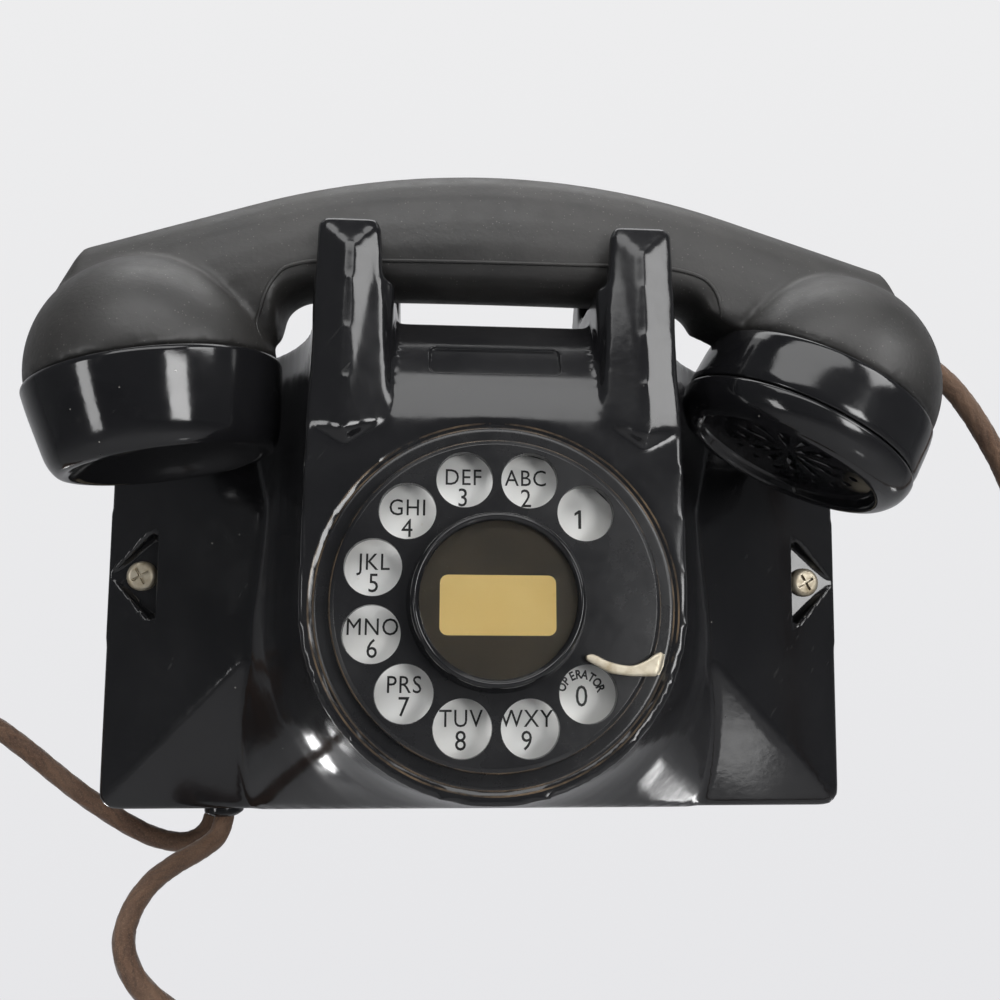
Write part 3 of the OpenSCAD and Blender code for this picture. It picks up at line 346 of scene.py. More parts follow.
def makeScratches():
    # thin rubbed lines in one direction, broken up by a second noise
    group, inside, outside = newGroup("scratches", Scale=60.0, Share=0.1, Turn=0.6)
    spot = add(group, "TexCoord").outputs["Object"]
    turn = add(group, "VectorRotate", rotation_type="Y_AXIS", s_Vector=spot, s_Angle=inside.outputs["Turn"])
    long = add(group, "VectorMath", operation="MULTIPLY", s_0=turn.outputs[0], s_1=(1.0, 22.0, 22.0))
    line = add(group, "TexNoise", s_Vector=long.outputs[0], s_Scale=inside.outputs["Scale"], s_Detail=2.0)
    patch = add(group, "TexNoise", s_Vector=spot, s_Scale=45.0, s_Detail=3.0)
    thin = add(group, "MapRange", s_0=line.outputs[0], s_1=0.66, s_2=0.72)
    some = add(group, "MapRange", s_0=patch.outputs[0], s_1=0.56, s_2=0.64)
    group.links.new(times(group, times(group, thin.outputs[0], some.outputs[0]), inside.outputs["Share"]),
                    outside.inputs[0])
    return group


def makeSettled():
    # what lies on surfaces that look up, 0 to 1
    group, inside, outside = newGroup("settled", From=0.2, To=0.95)
    up = add(group, "SeparateXYZ", s_0=add(group, "NewGeometry").outputs["Normal"]).outputs[2]
    mapped = add(group, "MapRange", s_0=up, s_1=inside.outputs["From"], s_2=inside.outputs["To"])
    group.links.new(mapped.outputs[0], outside.inputs[0])
    return group


def makeWornRing():
    # a broken line rubbed through at one radius of the dial, 0 to 1
    group, inside, outside = newGroup("wornRing", Radius=0.04, Width=0.0002)
    spot = add(group, "TexCoord").outputs["Object"]
    centre = [value * mm for value in dialFace["centre"]]
    centred = add(group, "VectorMath", operation="SUBTRACT", s_0=spot, s_1=centre)
    upright = add(group, "VectorRotate", rotation_type="X_AXIS", s_Vector=centred.outputs[0],
                  s_Angle=math.radians(dialFace["lean"] - 90))
    flat = add(group, "VectorMath", operation="MULTIPLY", s_0=upright.outputs[0], s_1=(1, 1, 0))
    radius = add(group, "VectorMath", operation="LENGTH", s_0=flat.outputs[0]).outputs["Value"]
    away = times(group, times(group, radius, inside.outputs["Radius"], "SUBTRACT"), 0.0, "ABSOLUTE")
    near = times(group, away, inside.outputs["Width"], "LESS_THAN")
    patch = add(group, "TexNoise", s_Vector=spot, s_Scale=70.0, s_Detail=5.0, s_Roughness=0.7)
    broken = add(group, "MapRange", s_0=patch.outputs[0], s_1=0.40, s_2=0.62)
    group.links.new(times(group, near, broken.outputs[0]), outside.inputs[0])
    return group


groups = {"wornRing": makeWornRing(), "specks": makeSpecks(), "cloud": makeCloud(),
          "scratches": makeScratches(), "settled": makeSettled()}


def use(tree, name, **values):
    made = tree.nodes.new("ShaderNodeGroup")
    made.node_tree = groups[name]
    for key, value in values.items():
        made.inputs[key].default_value = value
    return made.outputs[0]


def mixColor(tree, share, a, b):
    made = tree.nodes.new("ShaderNodeMix")
    made.data_type = "RGBA"
    for socket, value in ((made.inputs[0], share), (made.inputs[6], a), (made.inputs[7], b)):
        if isinstance(value, bpy.types.NodeSocket):
            tree.links.new(value, socket)
        else:
            socket.default_value = (*value, 1) if isinstance(value, tuple) else value
    return made.outputs[2]


def newMaterial(name):
    material = bpy.data.materials.new(name)
    material.use_nodes = True
    return material, material.node_tree, material.node_tree.nodes["Principled BSDF"]


def moulded(name, look):
    # moulded plastic: dark body, dull patches, dust, pale grains, rubbed lines and a faint orange-peel surface
    material, tree, shader = newMaterial(name)
    dull = use(tree, "cloud", Scale=look["patchScale"], Low=0.38, High=0.72)
    fine = use(tree, "cloud", Scale=look["patchScale"] * 9, Low=0.42, High=0.7)
    dustPatch = use(tree, "cloud", Scale=look["patchScale"] * 2.3, Low=0.45, High=0.68)
    settled = use(tree, "settled", From=look["dustFrom"], To=1.0)
    dust = times(tree, times(tree, settled, ramp(tree, dustPatch, 0, 1, 0.35, 1.0)), look["dust"])
    grains = use(tree, "specks", Scale=look["grainScale"], Share=look["grainShare"], Size=look["grainSize"])
    lines = use(tree, "scratches", Scale=look["lineScale"], Share=look["lines"], Turn=look["lineTurn"])
    body = mixColor(tree, times(tree, dull, look["patch"]), look["color"], look["patchColor"])
    body = mixColor(tree, dust, body, look["dustColor"])
    body = mixColor(tree, times(tree, lines, 0.5), body, look["dustColor"])
    body = mixColor(tree, times(tree, grains, look["grain"]), body, look["grainColor"])
    for radius in look["wornRings"]:
        worn = times(tree, use(tree, "wornRing", Radius=radius * mm), look["worn"])
        body = mixColor(tree, worn, body, look["wornColor"])
    tree.links.new(body, shader.inputs["Base Color"])
    rough = ramp(tree, dull, 0, 1, look["smooth"], look["rough"])
    rough = times(tree, rough, times(tree, fine, look["fine"]), "ADD")
    rough = times(tree, rough, times(tree, dust, 0.35), "ADD")
    rough = times(tree, rough, times(tree, lines, 0.3), "ADD")
    tree.links.new(times(tree, rough, 0.9, "MINIMUM"), shader.inputs["Roughness"])
    peel = add(tree, "TexNoise", s_Vector=add(tree, "TexCoord").outputs["Object"], s_Scale=look["peelScale"],
               s_Detail=3.0)
    height = times(tree, peel.outputs[0], times(tree, grains, look["grainHeight"]), "ADD")
    bump = add(tree, "Bump", s_Height=height, s_Strength=look["peel"], s_Distance=0.0002)
    tree.links.new(bump.outputs[0], shader.inputs["Normal"])
    shader.inputs["Specular IOR Level"].default_value = look["shine"]
    return material


def metal(name, look):
    # metal with stains and rubbed lines
    material, tree, shader = newMaterial(name)
    stain = use(tree, "cloud", Scale=look["stainScale"], Low=0.42, High=0.7)
    lines = use(tree, "scratches", Scale=120.0, Share=0.7, Turn=look.get("turn", 0.3))
    color = mixColor(tree, times(tree, stain, look["stain"]), look["color"], look["stainColor"])
    tree.links.new(color, shader.inputs["Base Color"])
    shader.inputs["Metallic"].default_value = look.get("metallic", 1.0)
    rough = times(tree, ramp(tree, stain, 0, 1, look["smooth"], look["rough"]), times(tree, lines, 0.15), "ADD")
    tree.links.new(rough, shader.inputs["Roughness"])
    return material


towerLook = {"color": (0.0085, 0.0085, 0.0095), "patchColor": (0.014, 0.014, 0.015), "patch": 0.8,
             "patchScale": 26.0, "dust": 0.16, "dustFrom": 0.45, "dustColor": (0.12, 0.115, 0.11), "grain": 0.7,
             "grainScale": 620.0, "grainShare": 0.010, "grainSize": 0.13, "grainColor": (0.5, 0.48, 0.44),
             "lines": 0.22, "lineScale": 26.0, "lineTurn": 0.9, "smooth": 0.10, "rough": 0.20, "fine": 0.04,
             "peel": 0.10, "peelScale": 420.0, "grainHeight": 1.0, "shine": 0.5, "worn": 0.75,
             "wornColor": (0.17, 0.12, 0.075), "wornRings": [41.2]}
capLook = dict(towerLook, color=(0.007, 0.007, 0.008), smooth=0.08, rough=0.17, dust=0.12, grainShare=0.03,
               grain=0.6, lines=0.2, wornRings=[])
wheelLook = dict(towerLook, smooth=0.2, rough=0.32, dust=0.12, grainShare=0.015, wornRings=[40.1, 36.2, 19.3])
handleLook = dict(towerLook, color=(0.018, 0.0175, 0.017), patchColor=(0.042, 0.040, 0.038), patch=0.9,
                  dust=0.5, dustFrom=-0.5, dustColor=(0.075, 0.071, 0.067), grainShare=0.30,
                  grainScale=1300.0, grainSize=0.26, grain=0.11, smooth=0.36, rough=0.5, fine=0.08, peel=0.3,
                  peelScale=900.0, wornRings=[])
bakelite = moulded("towerBakelite", towerLook)
capBakelite = moulded("capBakelite", capLook)
wheelBakelite = moulded("wheelBakelite", wheelLook)
handleBakelite = moulded("handleBakelite", handleLook)
wornNickel = metal("wornNickel", {"color": (0.52, 0.47, 0.37), "stainColor": (0.30, 0.24, 0.15), "stain": 0.85,
                                  "stainScale": 300.0, "smooth": 0.42, "rough": 0.6, "metallic": 0.7})
nickel = metal("nickel", {"color": (0.66, 0.62, 0.54), "stainColor": (0.3, 0.26, 0.2), "stain": 0.7,
                          "stainScale": 160.0, "smooth": 0.18, "rough": 0.4})
steel = metal("zincSteel", {"color": (0.48, 0.49, 0.5), "stainColor": (0.3, 0.29, 0.27), "stain": 0.5,
                            "stainScale": 40.0, "smooth": 0.3, "rough": 0.5})
brass = metal("brass", {"color": (0.72, 0.55, 0.26), "stainColor": (0.36, 0.24, 0.1), "stain": 0.6,
                        "stainScale": 60.0, "smooth": 0.25, "rough": 0.45})
alloy = metal("unitMetal", {"color": (0.5, 0.5, 0.49), "stainColor": (0.32, 0.31, 0.29), "stain": 0.5,
                            "stainScale": 50.0, "smooth": 0.35, "rough": 0.55})
springSteel = metal("springSteel", {"color": (0.34, 0.36, 0.4), "stainColor": (0.2, 0.18, 0.16), "stain": 0.5,
                                    "stainScale": 70.0, "smooth": 0.25, "rough": 0.4})


def plain(name, look):
    # paint, paper, ink or fibre with patches and a few spots
    material, tree, shader = newMaterial(name)
    patch = use(tree, "cloud", Scale=look["scale"], Low=0.4, High=0.75)
    spots = use(tree, "specks", Scale=look["scale"] * 12, Share=look.get("spots", 0.04), Size=0.25)
    color = mixColor(tree, times(tree, patch, look["patch"]), look["color"], look["patchColor"])
    color = mixColor(tree, times(tree, spots, 0.5), color, look["patchColor"])
    tree.links.new(color, shader.inputs["Base Color"])
    tree.links.new(ramp(tree, patch, 0, 1, look["smooth"], look["rough"]), shader.inputs["Roughness"])
    return material


enamel = plain("enamel", {"color": (0.93, 0.93, 0.91), "patchColor": (0.84, 0.81, 0.73), "patch": 0.3,
                          "scale": 60.0, "smooth": 0.12, "rough": 0.25})
ink = plain("ink", {"color": (0.012, 0.012, 0.012), "patchColor": (0.03, 0.03, 0.03), "patch": 0.5,
                    "scale": 200.0, "smooth": 0.3, "rough": 0.4})
cardDark = plain("cardDark", {"color": (0.026, 0.019, 0.012), "patchColor": (0.05, 0.036, 0.02), "patch": 0.8,
                              "scale": 90.0, "smooth": 0.4, "rough": 0.6})
cardPale = plain("cardPale", {"color": (0.92, 0.70, 0.30), "patchColor": (0.80, 0.56, 0.2), "patch": 0.5,
                              "scale": 70.0, "smooth": 0.5, "rough": 0.7})
fibre = plain("brownFibre", {"color": (0.2, 0.11, 0.06), "patchColor": (0.12, 0.07, 0.04), "patch": 0.6,
                             "scale": 80.0, "smooth": 0.45, "rough": 0.6})
winding = plain("winding", {"color": (0.34, 0.16, 0.07), "patchColor": (0.2, 0.1, 0.05), "patch": 0.6,
                            "scale": 120.0, "smooth": 0.4, "rough": 0.6})


def makeClear():
    # clear plastic with finger marks and rubbed lines
    material, tree, shader = newMaterial("clearWindow")
    shader.inputs["Base Color"].default_value = (0.95, 0.93, 0.86, 1)
    shader.inputs["Transmission Weight"].default_value = 1.0
    shader.inputs["IOR"].default_value = 1.45
    grease = use(tree, "cloud", Scale=70.0, Low=0.45, High=0.8)
    lines = use(tree, "scratches", Scale=50.0, Share=1.0, Turn=0.4)
    rough = times(tree, ramp(tree, grease, 0, 1, 0.02, 0.09), times(tree, lines, 0.2), "ADD")
    tree.links.new(rough, shader.inputs["Roughness"])
    return material


clearWindow = makeClear()


def makeCloth(look):
    # braided cotton: strand picks the tone, crown paints shade into the gaps between strands, and fuzz and dirt
    # lie on top
    material, tree, shader = newMaterial("brownCloth")
    strand = add(tree, "Attribute", attribute_name="strand").outputs["Fac"]
    crown = add(tree, "Attribute", attribute_name="crown").outputs["Fac"]
    dirt = use(tree, "cloud", Scale=55.0, Low=0.4, High=0.7)
    fuzz = add(tree, "TexNoise", s_Vector=add(tree, "TexCoord").outputs["Object"], s_Scale=2600.0, s_Detail=2.0)
    color = mixColor(tree, strand, look["color"], look["second"])
    # painted shade: where crown is low, between the strands, the colour goes towards deep
    color = mixColor(tree, ramp(tree, crown, 0.0, 0.6, 0.75, 0.0), color, look["deep"])
    color = mixColor(tree, times(tree, dirt, 0.5), color, look["worn"])
    color = mixColor(tree, ramp(tree, fuzz.outputs[0], 0.5, 0.7, 0.0, 0.5), color, look["worn"])
    tree.links.new(color, shader.inputs["Base Color"])
    shader.inputs["Roughness"].default_value = 0.85
    shader.inputs["Sheen Weight"].default_value = 0.35
    shader.inputs["Sheen Roughness"].default_value = 0.4
    bump = add(tree, "Bump", s_Height=fuzz.outputs[0], s_Strength=0.5, s_Distance=0.0003)
    tree.links.new(bump.outputs[0], shader.inputs["Normal"])
    return material


# deep is the colour of the painted shade between the strands
cloth = makeCloth({"color": (0.105, 0.055, 0.032), "second": (0.075, 0.040, 0.025),
                   "deep": (0.02, 0.012, 0.008), "worn": (0.20, 0.125, 0.08)})

print("cords")
braid = {"step": 0.8, "lay": 7.0, "strands": 8, "around": 32, "relief": 0.22}
handsetCord = {"length": 1.4, "diameter": 5.8, "coil": (20, -58, -172), "start": 12, "turns": 4.5 - 24 / 360,
               "across": (-13.2, 13)}
lineCord = {"length": 1.8, "diameter": 5.8, "coil": (-196, -17.2, -84), "start": 100, "outerTurns": 4.6,
            "outerAcross": (-13.4, 13), "innerTurns": 4.72, "innerFrom": 4.75, "innerAcross": (13.4, -13),
            "layer": 6.1}
handsetOut = [(103.4, -64, 68.7), (111, -64, 65.15), (118.8, -64, 61.5), (123, -63.5, 59.1), (128.3, -63, 54.7),
              (133.9, -62, 48.4), (139.4, -61, 40.4), (144, -60.5, 32), (148.8, -60, 19), (152, -60, 2),
              (153, -60, -26), (153, -60, -54), (151, -60, -80), (147, -60, -100), (138, -60.5, -117),
              (124, -62, -129), (107, -65, -137), (88, -68.5, -142), (69, -71, -148), (58, -71.5, -155)]
handsetIn = [(-17, -45.5, -155), (-28, -47, -145), (-43, -50, -133), (-61, -53, -121.5), (-76, -55, -111.5),
             (-87, -54.5, -103), (-92, -52, -94.5), (-92, -47, -87.5), (-89, -41, -82), (-84.5, -33.5, -79),
             (-79.5, -27, -77), (-75.8, -22, -74.4), (-74.5, -20, -70), (-74.5, -20, -66.6), (-74.5, -20, -59)]
lineOut = [(-79.5, -9.3, -59), (-79.5, -9.3, -66.6), (-79.5, -9.3, -70), (-82, -9.3, -76), (-88, -9.3, -79),
           (-96, -9.3, -77.9), (-104, -9.3, -74.4), (-112, -9.3, -69.6), (-120, -9.3, -64.2), (-128, -9.3, -58.1),
           (-137, -9.3, -51), (-146, -10.5, -44.2), (-156, -13, -38.4), (-166, -18, -35.6), (-177, -25, -37.2),
           (-187, -29.5, -43)]


def loops(centre, radius, start, turns, direction, across, steps=72):
    # turns of a coil about the Y axis: centre + radius * (cos a, sin a) in X and Z while Y runs across evenly
    share = np.linspace(0, 1, int(turns * steps) + 1)
    angle = np.radians(start) + direction * 2 * np.pi * turns * share
    height = centre[1] + across[0] + (across[1] - across[0]) * share
    return np.stack([centre[0] + radius * np.cos(angle), height, centre[2] + radius * np.sin(angle)], 1)[::6]


def cordPath(build, length):
    # the coil's radius is found by halving, so that the whole cord has its real length
    low, high = 20.0, 42.0
    for _ in range(40):
        middle = (low + high) / 2
        path, total = evenly(smoothCurve(build(middle), 6), braid["step"])
        low, high = (middle, high) if total < length / mm else (low, middle)
    print("  coil radius", round(middle, 2), "length", round(total, 1))
    return path


def handsetRoute(radius):
    coil = loops(handsetCord["coil"], radius, handsetCord["start"], handsetCord["turns"], -1,
                 handsetCord["across"])
    return np.vstack([handsetOut, coil, handsetIn])


def braided(name, path, look):
    # strands lie along two crossing helices, a and b = strands * angle / 2 pi +- run / lay; the upper one in
    # each cell sets the height, radius - relief * (1 - sin(pi * a)), and the ends are drawn in to close them
    side, third = crossways(path)
    run = np.arange(len(path))[:, None] * braid["step"] / braid["lay"]
    angle = np.linspace(0, 2 * np.pi, braid["around"], endpoint=False)[None, :]
    a, b = angle * braid["strands"] / (2 * np.pi) + run, angle * braid["strands"] / (2 * np.pi) - run
    over = (np.floor(a) + np.floor(b)) % 2 == 0
    crown = np.where(over, np.sin(np.pi * (a % 1)), np.sin(np.pi * (b % 1)))
    ends = np.clip(stepsFromEnd(path)[:, None] / 2, 0.02, 1)
    reach = (look["diameter"] / 2 - braid["relief"] * (1 - crown)) * ends
    points = path[:, None] + reach[..., None] * (np.cos(angle)[..., None] * side[:, None]
                                                 + np.sin(angle)[..., None] * third[:, None])
    mesh = gridMesh(name, points * mm, closeAcross=True)
    shade = np.where(over, (np.floor(a) * 0.37) % 1, (np.floor(b) * 0.61) % 1)
    for label, values in (("strand", shade), ("crown", crown)):
        attribute = mesh.attributes.new(label, "FLOAT", "POINT")
        attribute.data.foreach_set("value", values.astype(np.float32).ravel())
    mesh.materials.append(cloth)
    return mesh


handsetPath = cordPath(handsetRoute, handsetCord["length"])
handsetCordLook = addObject("handsetCordLook", braided("handsetCordLook", handsetPath, handsetCord))
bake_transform(handsetCordLook)
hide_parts("handset_cord", "handset_cord_coil", "handset_cord_tail")


def lineRoute(radius):
    # an outer layer, then an inner one back across it
    c = lineCord["coil"]
    outer = loops(c, radius, lineCord["start"], lineCord["outerTurns"], 1, lineCord["outerAcross"])
    inner = loops(c, radius - lineCord["layer"], lineCord["start"] + lineCord["innerFrom"] * 360,
                  lineCord["innerTurns"], 1, lineCord["innerAcross"])
    last = [(c[0] + 8, c[1] - 18, c[2] - radius + 5.6), (c[0] + 15.5, c[1] - 20, c[2] - 29.5),
            (c[0] + 19.5, c[1] - 18, c[2] - 37), (c[0] + 20, c[1] - 15.5, c[2] - 43)]
    return np.vstack([lineOut, outer, inner, last])


linePath = cordPath(lineRoute, lineCord["length"])
lineCordLook = addObject("lineCordLook", braided("lineCordLook", linePath, lineCord), "base")
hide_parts("line_cord", "line_cord_coil")


print("housing")
housingLook = {"voxel": 1.2, "rounds": 6, "nearEdge": 1.4, "farEdge": 3.0, "mostTriangles": 190000}
crispParts = {"prongs": {"low": (21, -112, 24), "high": (46, -56, 95), "cuts": 1, "rounds": 10},
              "screwPockets": {"low": (88, -44, -19), "high": (112, -20, 21), "cuts": 3, "rounds": 4}}
barePanel = {"width": 31.0, "height": 7.6, "up": 58.0, "corner": 1.6, "deep": 0.95, "edge": 0.35}
shoulder = {"from": 38.0, "radius": 46.0}
dialPlace = place(dialFace["centre"], 90 - dialFace["lean"], "X")


def pressPanel(made, look):
    # the bare panel's hollow: height = sqrt(r^2 - (up - from)^2) - r - deep * step(rounded-box distance)
    reach = np.array([look["width"] / 2 + 2.5, look["height"] / 2 + 2.2])

    def state(mesh):
        spots = np.empty(len(mesh.vertices) * 3)
        mesh.vertices.foreach_get("co", spots)
        inverse = np.array(dialPlace.inverted())
        local = (spots.reshape(-1, 3) @ inverse[:3, :3].T + inverse[:3, 3]) / mm
        rise = np.clip(local[:, 1] - shoulder["from"], 0, shoulder["radius"] - 1)
        skin = np.sqrt(shoulder["radius"] ** 2 - rise ** 2) - shoulder["radius"]
        off = np.abs(local[:, :2] - [0, look["up"]])
        inside = (off < reach).all(1) & (np.abs(local[:, 2] - skin) < 1.6)
        return local, skin, off, inside

    inside = state(made.data)[3]
    work = bmesh.new()
    work.from_mesh(made.data)
    edges = [edge for edge in work.edges if inside[edge.verts[0].index] and inside[edge.verts[1].index]]
    bmesh.ops.subdivide_edges(work, edges=edges, cuts=3, use_grid_fill=True)
    work.to_mesh(made.data)
    work.free()
    local, skin, off, inside = state(made.data)
    corner = off - [look["width"] / 2 - look["corner"], look["height"] / 2 - look["corner"]]
    distance = np.linalg.norm(np.maximum(corner, 0), axis=1) + np.minimum(corner.max(1), 0) - look["corner"]
    step = np.clip(0.5 - distance / look["edge"], 0, 1)
    step = step * step * (3 - 2 * step)
    keep = np.clip((reach - off).min(1) / 1.2, 0, 1) * inside
    local[:, 2] += keep * (skin - look["deep"] * step - local[:, 2])
    forward = np.array(dialPlace)
    made.data.vertices.foreach_set("co", (local * mm @ forward[:3, :3].T + forward[:3, 3]).ravel())
    made.data.update()
    made.data.shade_smooth()


housing = softCopy("housing", housingLook["voxel"], housingLook["rounds"])
trueFlats(housing, "housing", housingLook["nearEdge"], housingLook["farEdge"])
for part in crispParts.values():
    crisper(housing, "housing", **part)
pressPanel(housing, barePanel)
lighter(housing, "housing", housingLook["farEdge"], housingLook["mostTriangles"])
housing.data.shade_smooth()
evenNormals(housing)
dress(housing, bakelite)

print("dial")


def rounded(profile, steps=5):
    # each entry is (radius, height, corner); a corner is (1 - t)^2 a + 2 t (1 - t) here + t^2 b
    p = np.asarray([q[:2] for q in profile], float)
    out = []
    for i, (_, _, corner) in enumerate(profile):
        before, here, after = p[i - 1], p[i], p[(i + 1) % len(p)]
        if not corner:
            out.append(here)
            continue
        a = here + (before - here) * min(0.48, corner / max(1e-6, np.linalg.norm(before - here)))
        b = here + (after - here) * min(0.48, corner / max(1e-6, np.linalg.norm(after - here)))
        t = np.linspace(0, 1, steps + 1)[:, None]
        out.extend((1 - t) ** 2 * a + 2 * t * (1 - t) * here + t ** 2 * b)
    return np.asarray(out)


def lathe(name, node, profile, where, material, sides=192):
    # a ring or cap turned from a closed outline: (r cos a, r sin a, height)
    points = rounded(profile)
    ring = np.repeat(points[:, None, :], sides, 1)
    angle = np.linspace(0, 2 * np.pi, sides, endpoint=False)[None, :]
    grid = np.stack([ring[..., 0] * np.cos(angle), ring[..., 0] * np.sin(angle), ring[..., 1]], -1) * mm
    mesh = gridMesh(name, grid, closeAcross=True, closeAlong=True)
    work = bmesh.new()
    work.from_mesh(mesh)
    bmesh.ops.remove_doubles(work, verts=work.verts, dist=1e-7)
    bmesh.ops.recalc_face_normals(work, faces=work.faces)
    work.to_mesh(mesh)
    work.free()
    mesh.shade_smooth()
    mesh.transform(where)
    made = addObject(name, mesh, nodes[node]["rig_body"])
    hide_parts(node)
    dress(made, material)
    return made


def drill(made, spots, radius, low, high, where):
    # round holes along Z at the given spots, from one height to another
    work = bmesh.new()
    for x, y in spots:
        middle = Matrix.Translation(Vector((x, y, (low + high) / 2)) * mm)
        bmesh.ops.create_cone(work, cap_ends=True, segments=20, radius1=radius * mm, radius2=radius * mm,
                              depth=(high - low) * mm, matrix=middle)
    mesh = bpy.data.meshes.new("drill")
    work.to_mesh(mesh)
    work.free()
    mesh.transform(where)
    cutter = addObject("drill", mesh)
    cut = made.modifiers.new("cut", "BOOLEAN")
    cut.object, cut.solver = cutter, "EXACT"
    settle(made)
    bpy.data.objects.remove(cutter)


# outlines are (distance from the dial's axis, height over its face, corner radius)
dial = {"holeCircle": 27.9, "holeStep": 30, "firstHole": 45, "plateTop": -2.5,
        "cup": [(35.3, -1.5, 0), (35.3, -0.1, 0.3), (39.6, 0.05, 0.6), (40.5, -0.6, 0.4), (40.5, -1.5, 0),
                (36.1, -1.5, 0), (36.1, -36, 0.5), (3.1, -36, 0), (3.1, -34.8, 0), (35.3, -34.8, 0.4),
                (35.3, -4.8, 0), (33.3, -4.7, 0), (33.3, -3.7, 0), (35.3, -3.7, 0)],
        "plate": [(4, -3.7, 0), (4, -2.5, 0.2), (35.1, -2.5, 0.2), (35.1, -3.7, 0.2)],
        "ring": [(17.25, 4.25, 0), (19.7, 4.25, 0.3), (19.1, 7.5, 2.0), (18.6, 10.4, 0.8), (17.8, 11.2, 0.7),
                 (17.0, 10.5, 0.4), (16.7, 9.9, 0.2), (17.25, 9.9, 0)],
        "card": [(0, 7.6, 0), (17.0, 7.6, 0), (17.0, 8.0, 0), (0, 8.0, 0)],
        "window": [(0, 8.1, 0), (17.1, 8.1, 0), (17.1, 9.3, 0.3), (0, 9.42, 0)]}
for made in (lathe("dialCup", "dial_cup", dial["cup"], dialPlace, wheelBakelite),
             lathe("numberPlate", "number_plate", dial["plate"], dialPlace, enamel),
             lathe("cardRing", "card_ring", dial["ring"], dialPlace, capBakelite),
             lathe("numberCard", "number_card", dial["card"], dialPlace, cardDark),
             lathe("cardWindow", "card_window", dial["window"], dialPlace, clearWindow)):
    evenNormals(made)
dress(fineCopy("finger_wheel", 0.45), wheelBakelite)


def flatPiece(name, outline, low, high, material, body):
    # a thin plate with the given outline, drawn in the dial's frame
    work = bmesh.new()
    bottom = [work.verts.new((x * mm, y * mm, low * mm)) for x, y in outline]
    base = work.faces.new(bottom)
    top = bmesh.ops.extrude_face_region(work, geom=[base])["geom"]
    bmesh.ops.translate(work, verts=[g for g in top if isinstance(g, bmesh.types.BMVert)],
                        vec=(0, 0, (high - low) * mm))
    bmesh.ops.recalc_face_normals(work, faces=work.faces)
    mesh = bpy.data.meshes.new(name)
    work.to_mesh(mesh)
    work.free()
    mesh.transform(dialPlace)
    dress(addObject(name, mesh, body), material)


def roundedBox(look):
    # quarter circles, each centre + corner * (cos a, sin a), at the four corners
    reach = np.array([look["width"], look["height"]]) / 2 - look["corner"]
    points = []
    for index, sides in enumerate([(1, 1), (-1, 1), (-1, -1), (1, -1)]):
        angle = np.linspace(0, np.pi / 2, 7) + index * np.pi / 2
        points.append(reach * sides + look["corner"] * np.stack([np.cos(angle), np.sin(angle)], 1))
    return np.vstack(points) + [0, look["up"]]


paper = {"width": 24.8, "height": 12.8, "corner": 1.7, "low": 7.99, "high": 8.04, "up": -1.2}
flatPiece("paperLabel", roundedBox(paper), paper["low"], paper["high"], cardPale, "dial_rotor")


def lettering(name, text, size, x, y, turned=0.0, bold=0.0, wide=0.9):
    # flat letters laid on the number plate
    curve = bpy.data.curves.new(name, "FONT")
    curve.body, curve.size, curve.extrude = text, size * mm, 0.03 * mm
    curve.align_x, curve.align_y = "CENTER", "CENTER"
    curve.resolution_u, curve.space_character = 3, 1.08
    curve.offset = bold * size * mm
    holder = bpy.data.objects.new(name, curve)
    scene.collection.objects.link(holder)
    bpy.context.view_layer.update()
    mesh = bpy.data.meshes.new_from_object(holder.evaluated_get(bpy.context.evaluated_depsgraph_get()))
    bpy.data.objects.remove(holder)
    mesh.transform(dialPlace @ Matrix.Translation(Vector((x, y, dial["plateTop"] + 0.02)) * mm)
                   @ Matrix.Rotation(turned, 4, "Z") @ Matrix.Diagonal((wide, 1, 1, 1)))
    return mesh


def joined(name, meshes, material, body):
    # many meshes in one piece
    work = bmesh.new()
    for mesh in meshes:
        work.from_mesh(mesh)
        bpy.data.meshes.remove(mesh)
    mesh = bpy.data.meshes.new(name)
    work.to_mesh(mesh)
    work.free()
    dress(addObject(name, mesh, body), material)


signs = {"letters": 5.35, "lettersAt": (-0.2, 1.75), "figure": 6.0, "figureAt": (-0.2, -3.0), "zero": 6.6,
         "zeroAt": (-0.5, -0.7), "oneAt": (-0.8, -0.3), "archSize": 2.7, "archRadius": 4.5,
         "archAt": (-0.6, -0.3), "archWide": 0.82, "archBold": 0.03,
         "archAngles": [157, 137, 115, 97, 79, 58, 38, 20],
         "one": [(0.02, -0.36), (0.13, -0.36), (0.13, 0.36), (0.04, 0.36), (-0.12, 0.24), (-0.12, 0.14),
                 (0.02, 0.22)]}
holeSigns = ["1", "ABC 2", "DEF 3", "GHI 4", "JKL 5", "MNO 6", "PRS 7", "TUV 8", "WXY 9", "OPERATOR 0"]
glyphs = []
for index, sign in enumerate(holeSigns):
    around = math.radians(dial["firstHole"] + dial["holeStep"] * index)
    hole = dial["holeCircle"] * np.array([math.cos(around), math.sin(around)])
    words, figure = (sign.split() if " " in sign else ("", sign))
    if figure == "0":
        for letter, degrees in zip(words, signs["archAngles"]):
            lean = math.radians(degrees)
            spot = hole + signs["archAt"] + signs["archRadius"] * np.array([math.cos(lean), math.sin(lean)])
            glyphs.append(lettering("arch", letter, signs["archSize"], *spot, lean - math.pi / 2,
                                    signs["archBold"], signs["archWide"]))
        glyphs.append(lettering("figure", figure, signs["zero"], *(hole + signs["zeroAt"])))
    elif words:
        glyphs.append(lettering("letters", words, signs["letters"], *(hole + signs["lettersAt"])))
        glyphs.append(lettering("figure", figure, signs["figure"], *(hole + signs["figureAt"])))
    else:
        stroke = np.array(signs["one"]) * signs["figure"] + hole + signs["oneAt"]
        mesh = bpy.data.meshes.new("figure")
        mesh.from_pydata([(px, py, dial["plateTop"] + 0.05) for px, py in stroke], [],
                         [(0, 1, 2, 6), (2, 3, 4, 5), (2, 5, 6)])
        mesh.transform(Matrix.Diagonal((mm, mm, mm, 1)))
        mesh.transform(dialPlace)
        glyphs.append(mesh)
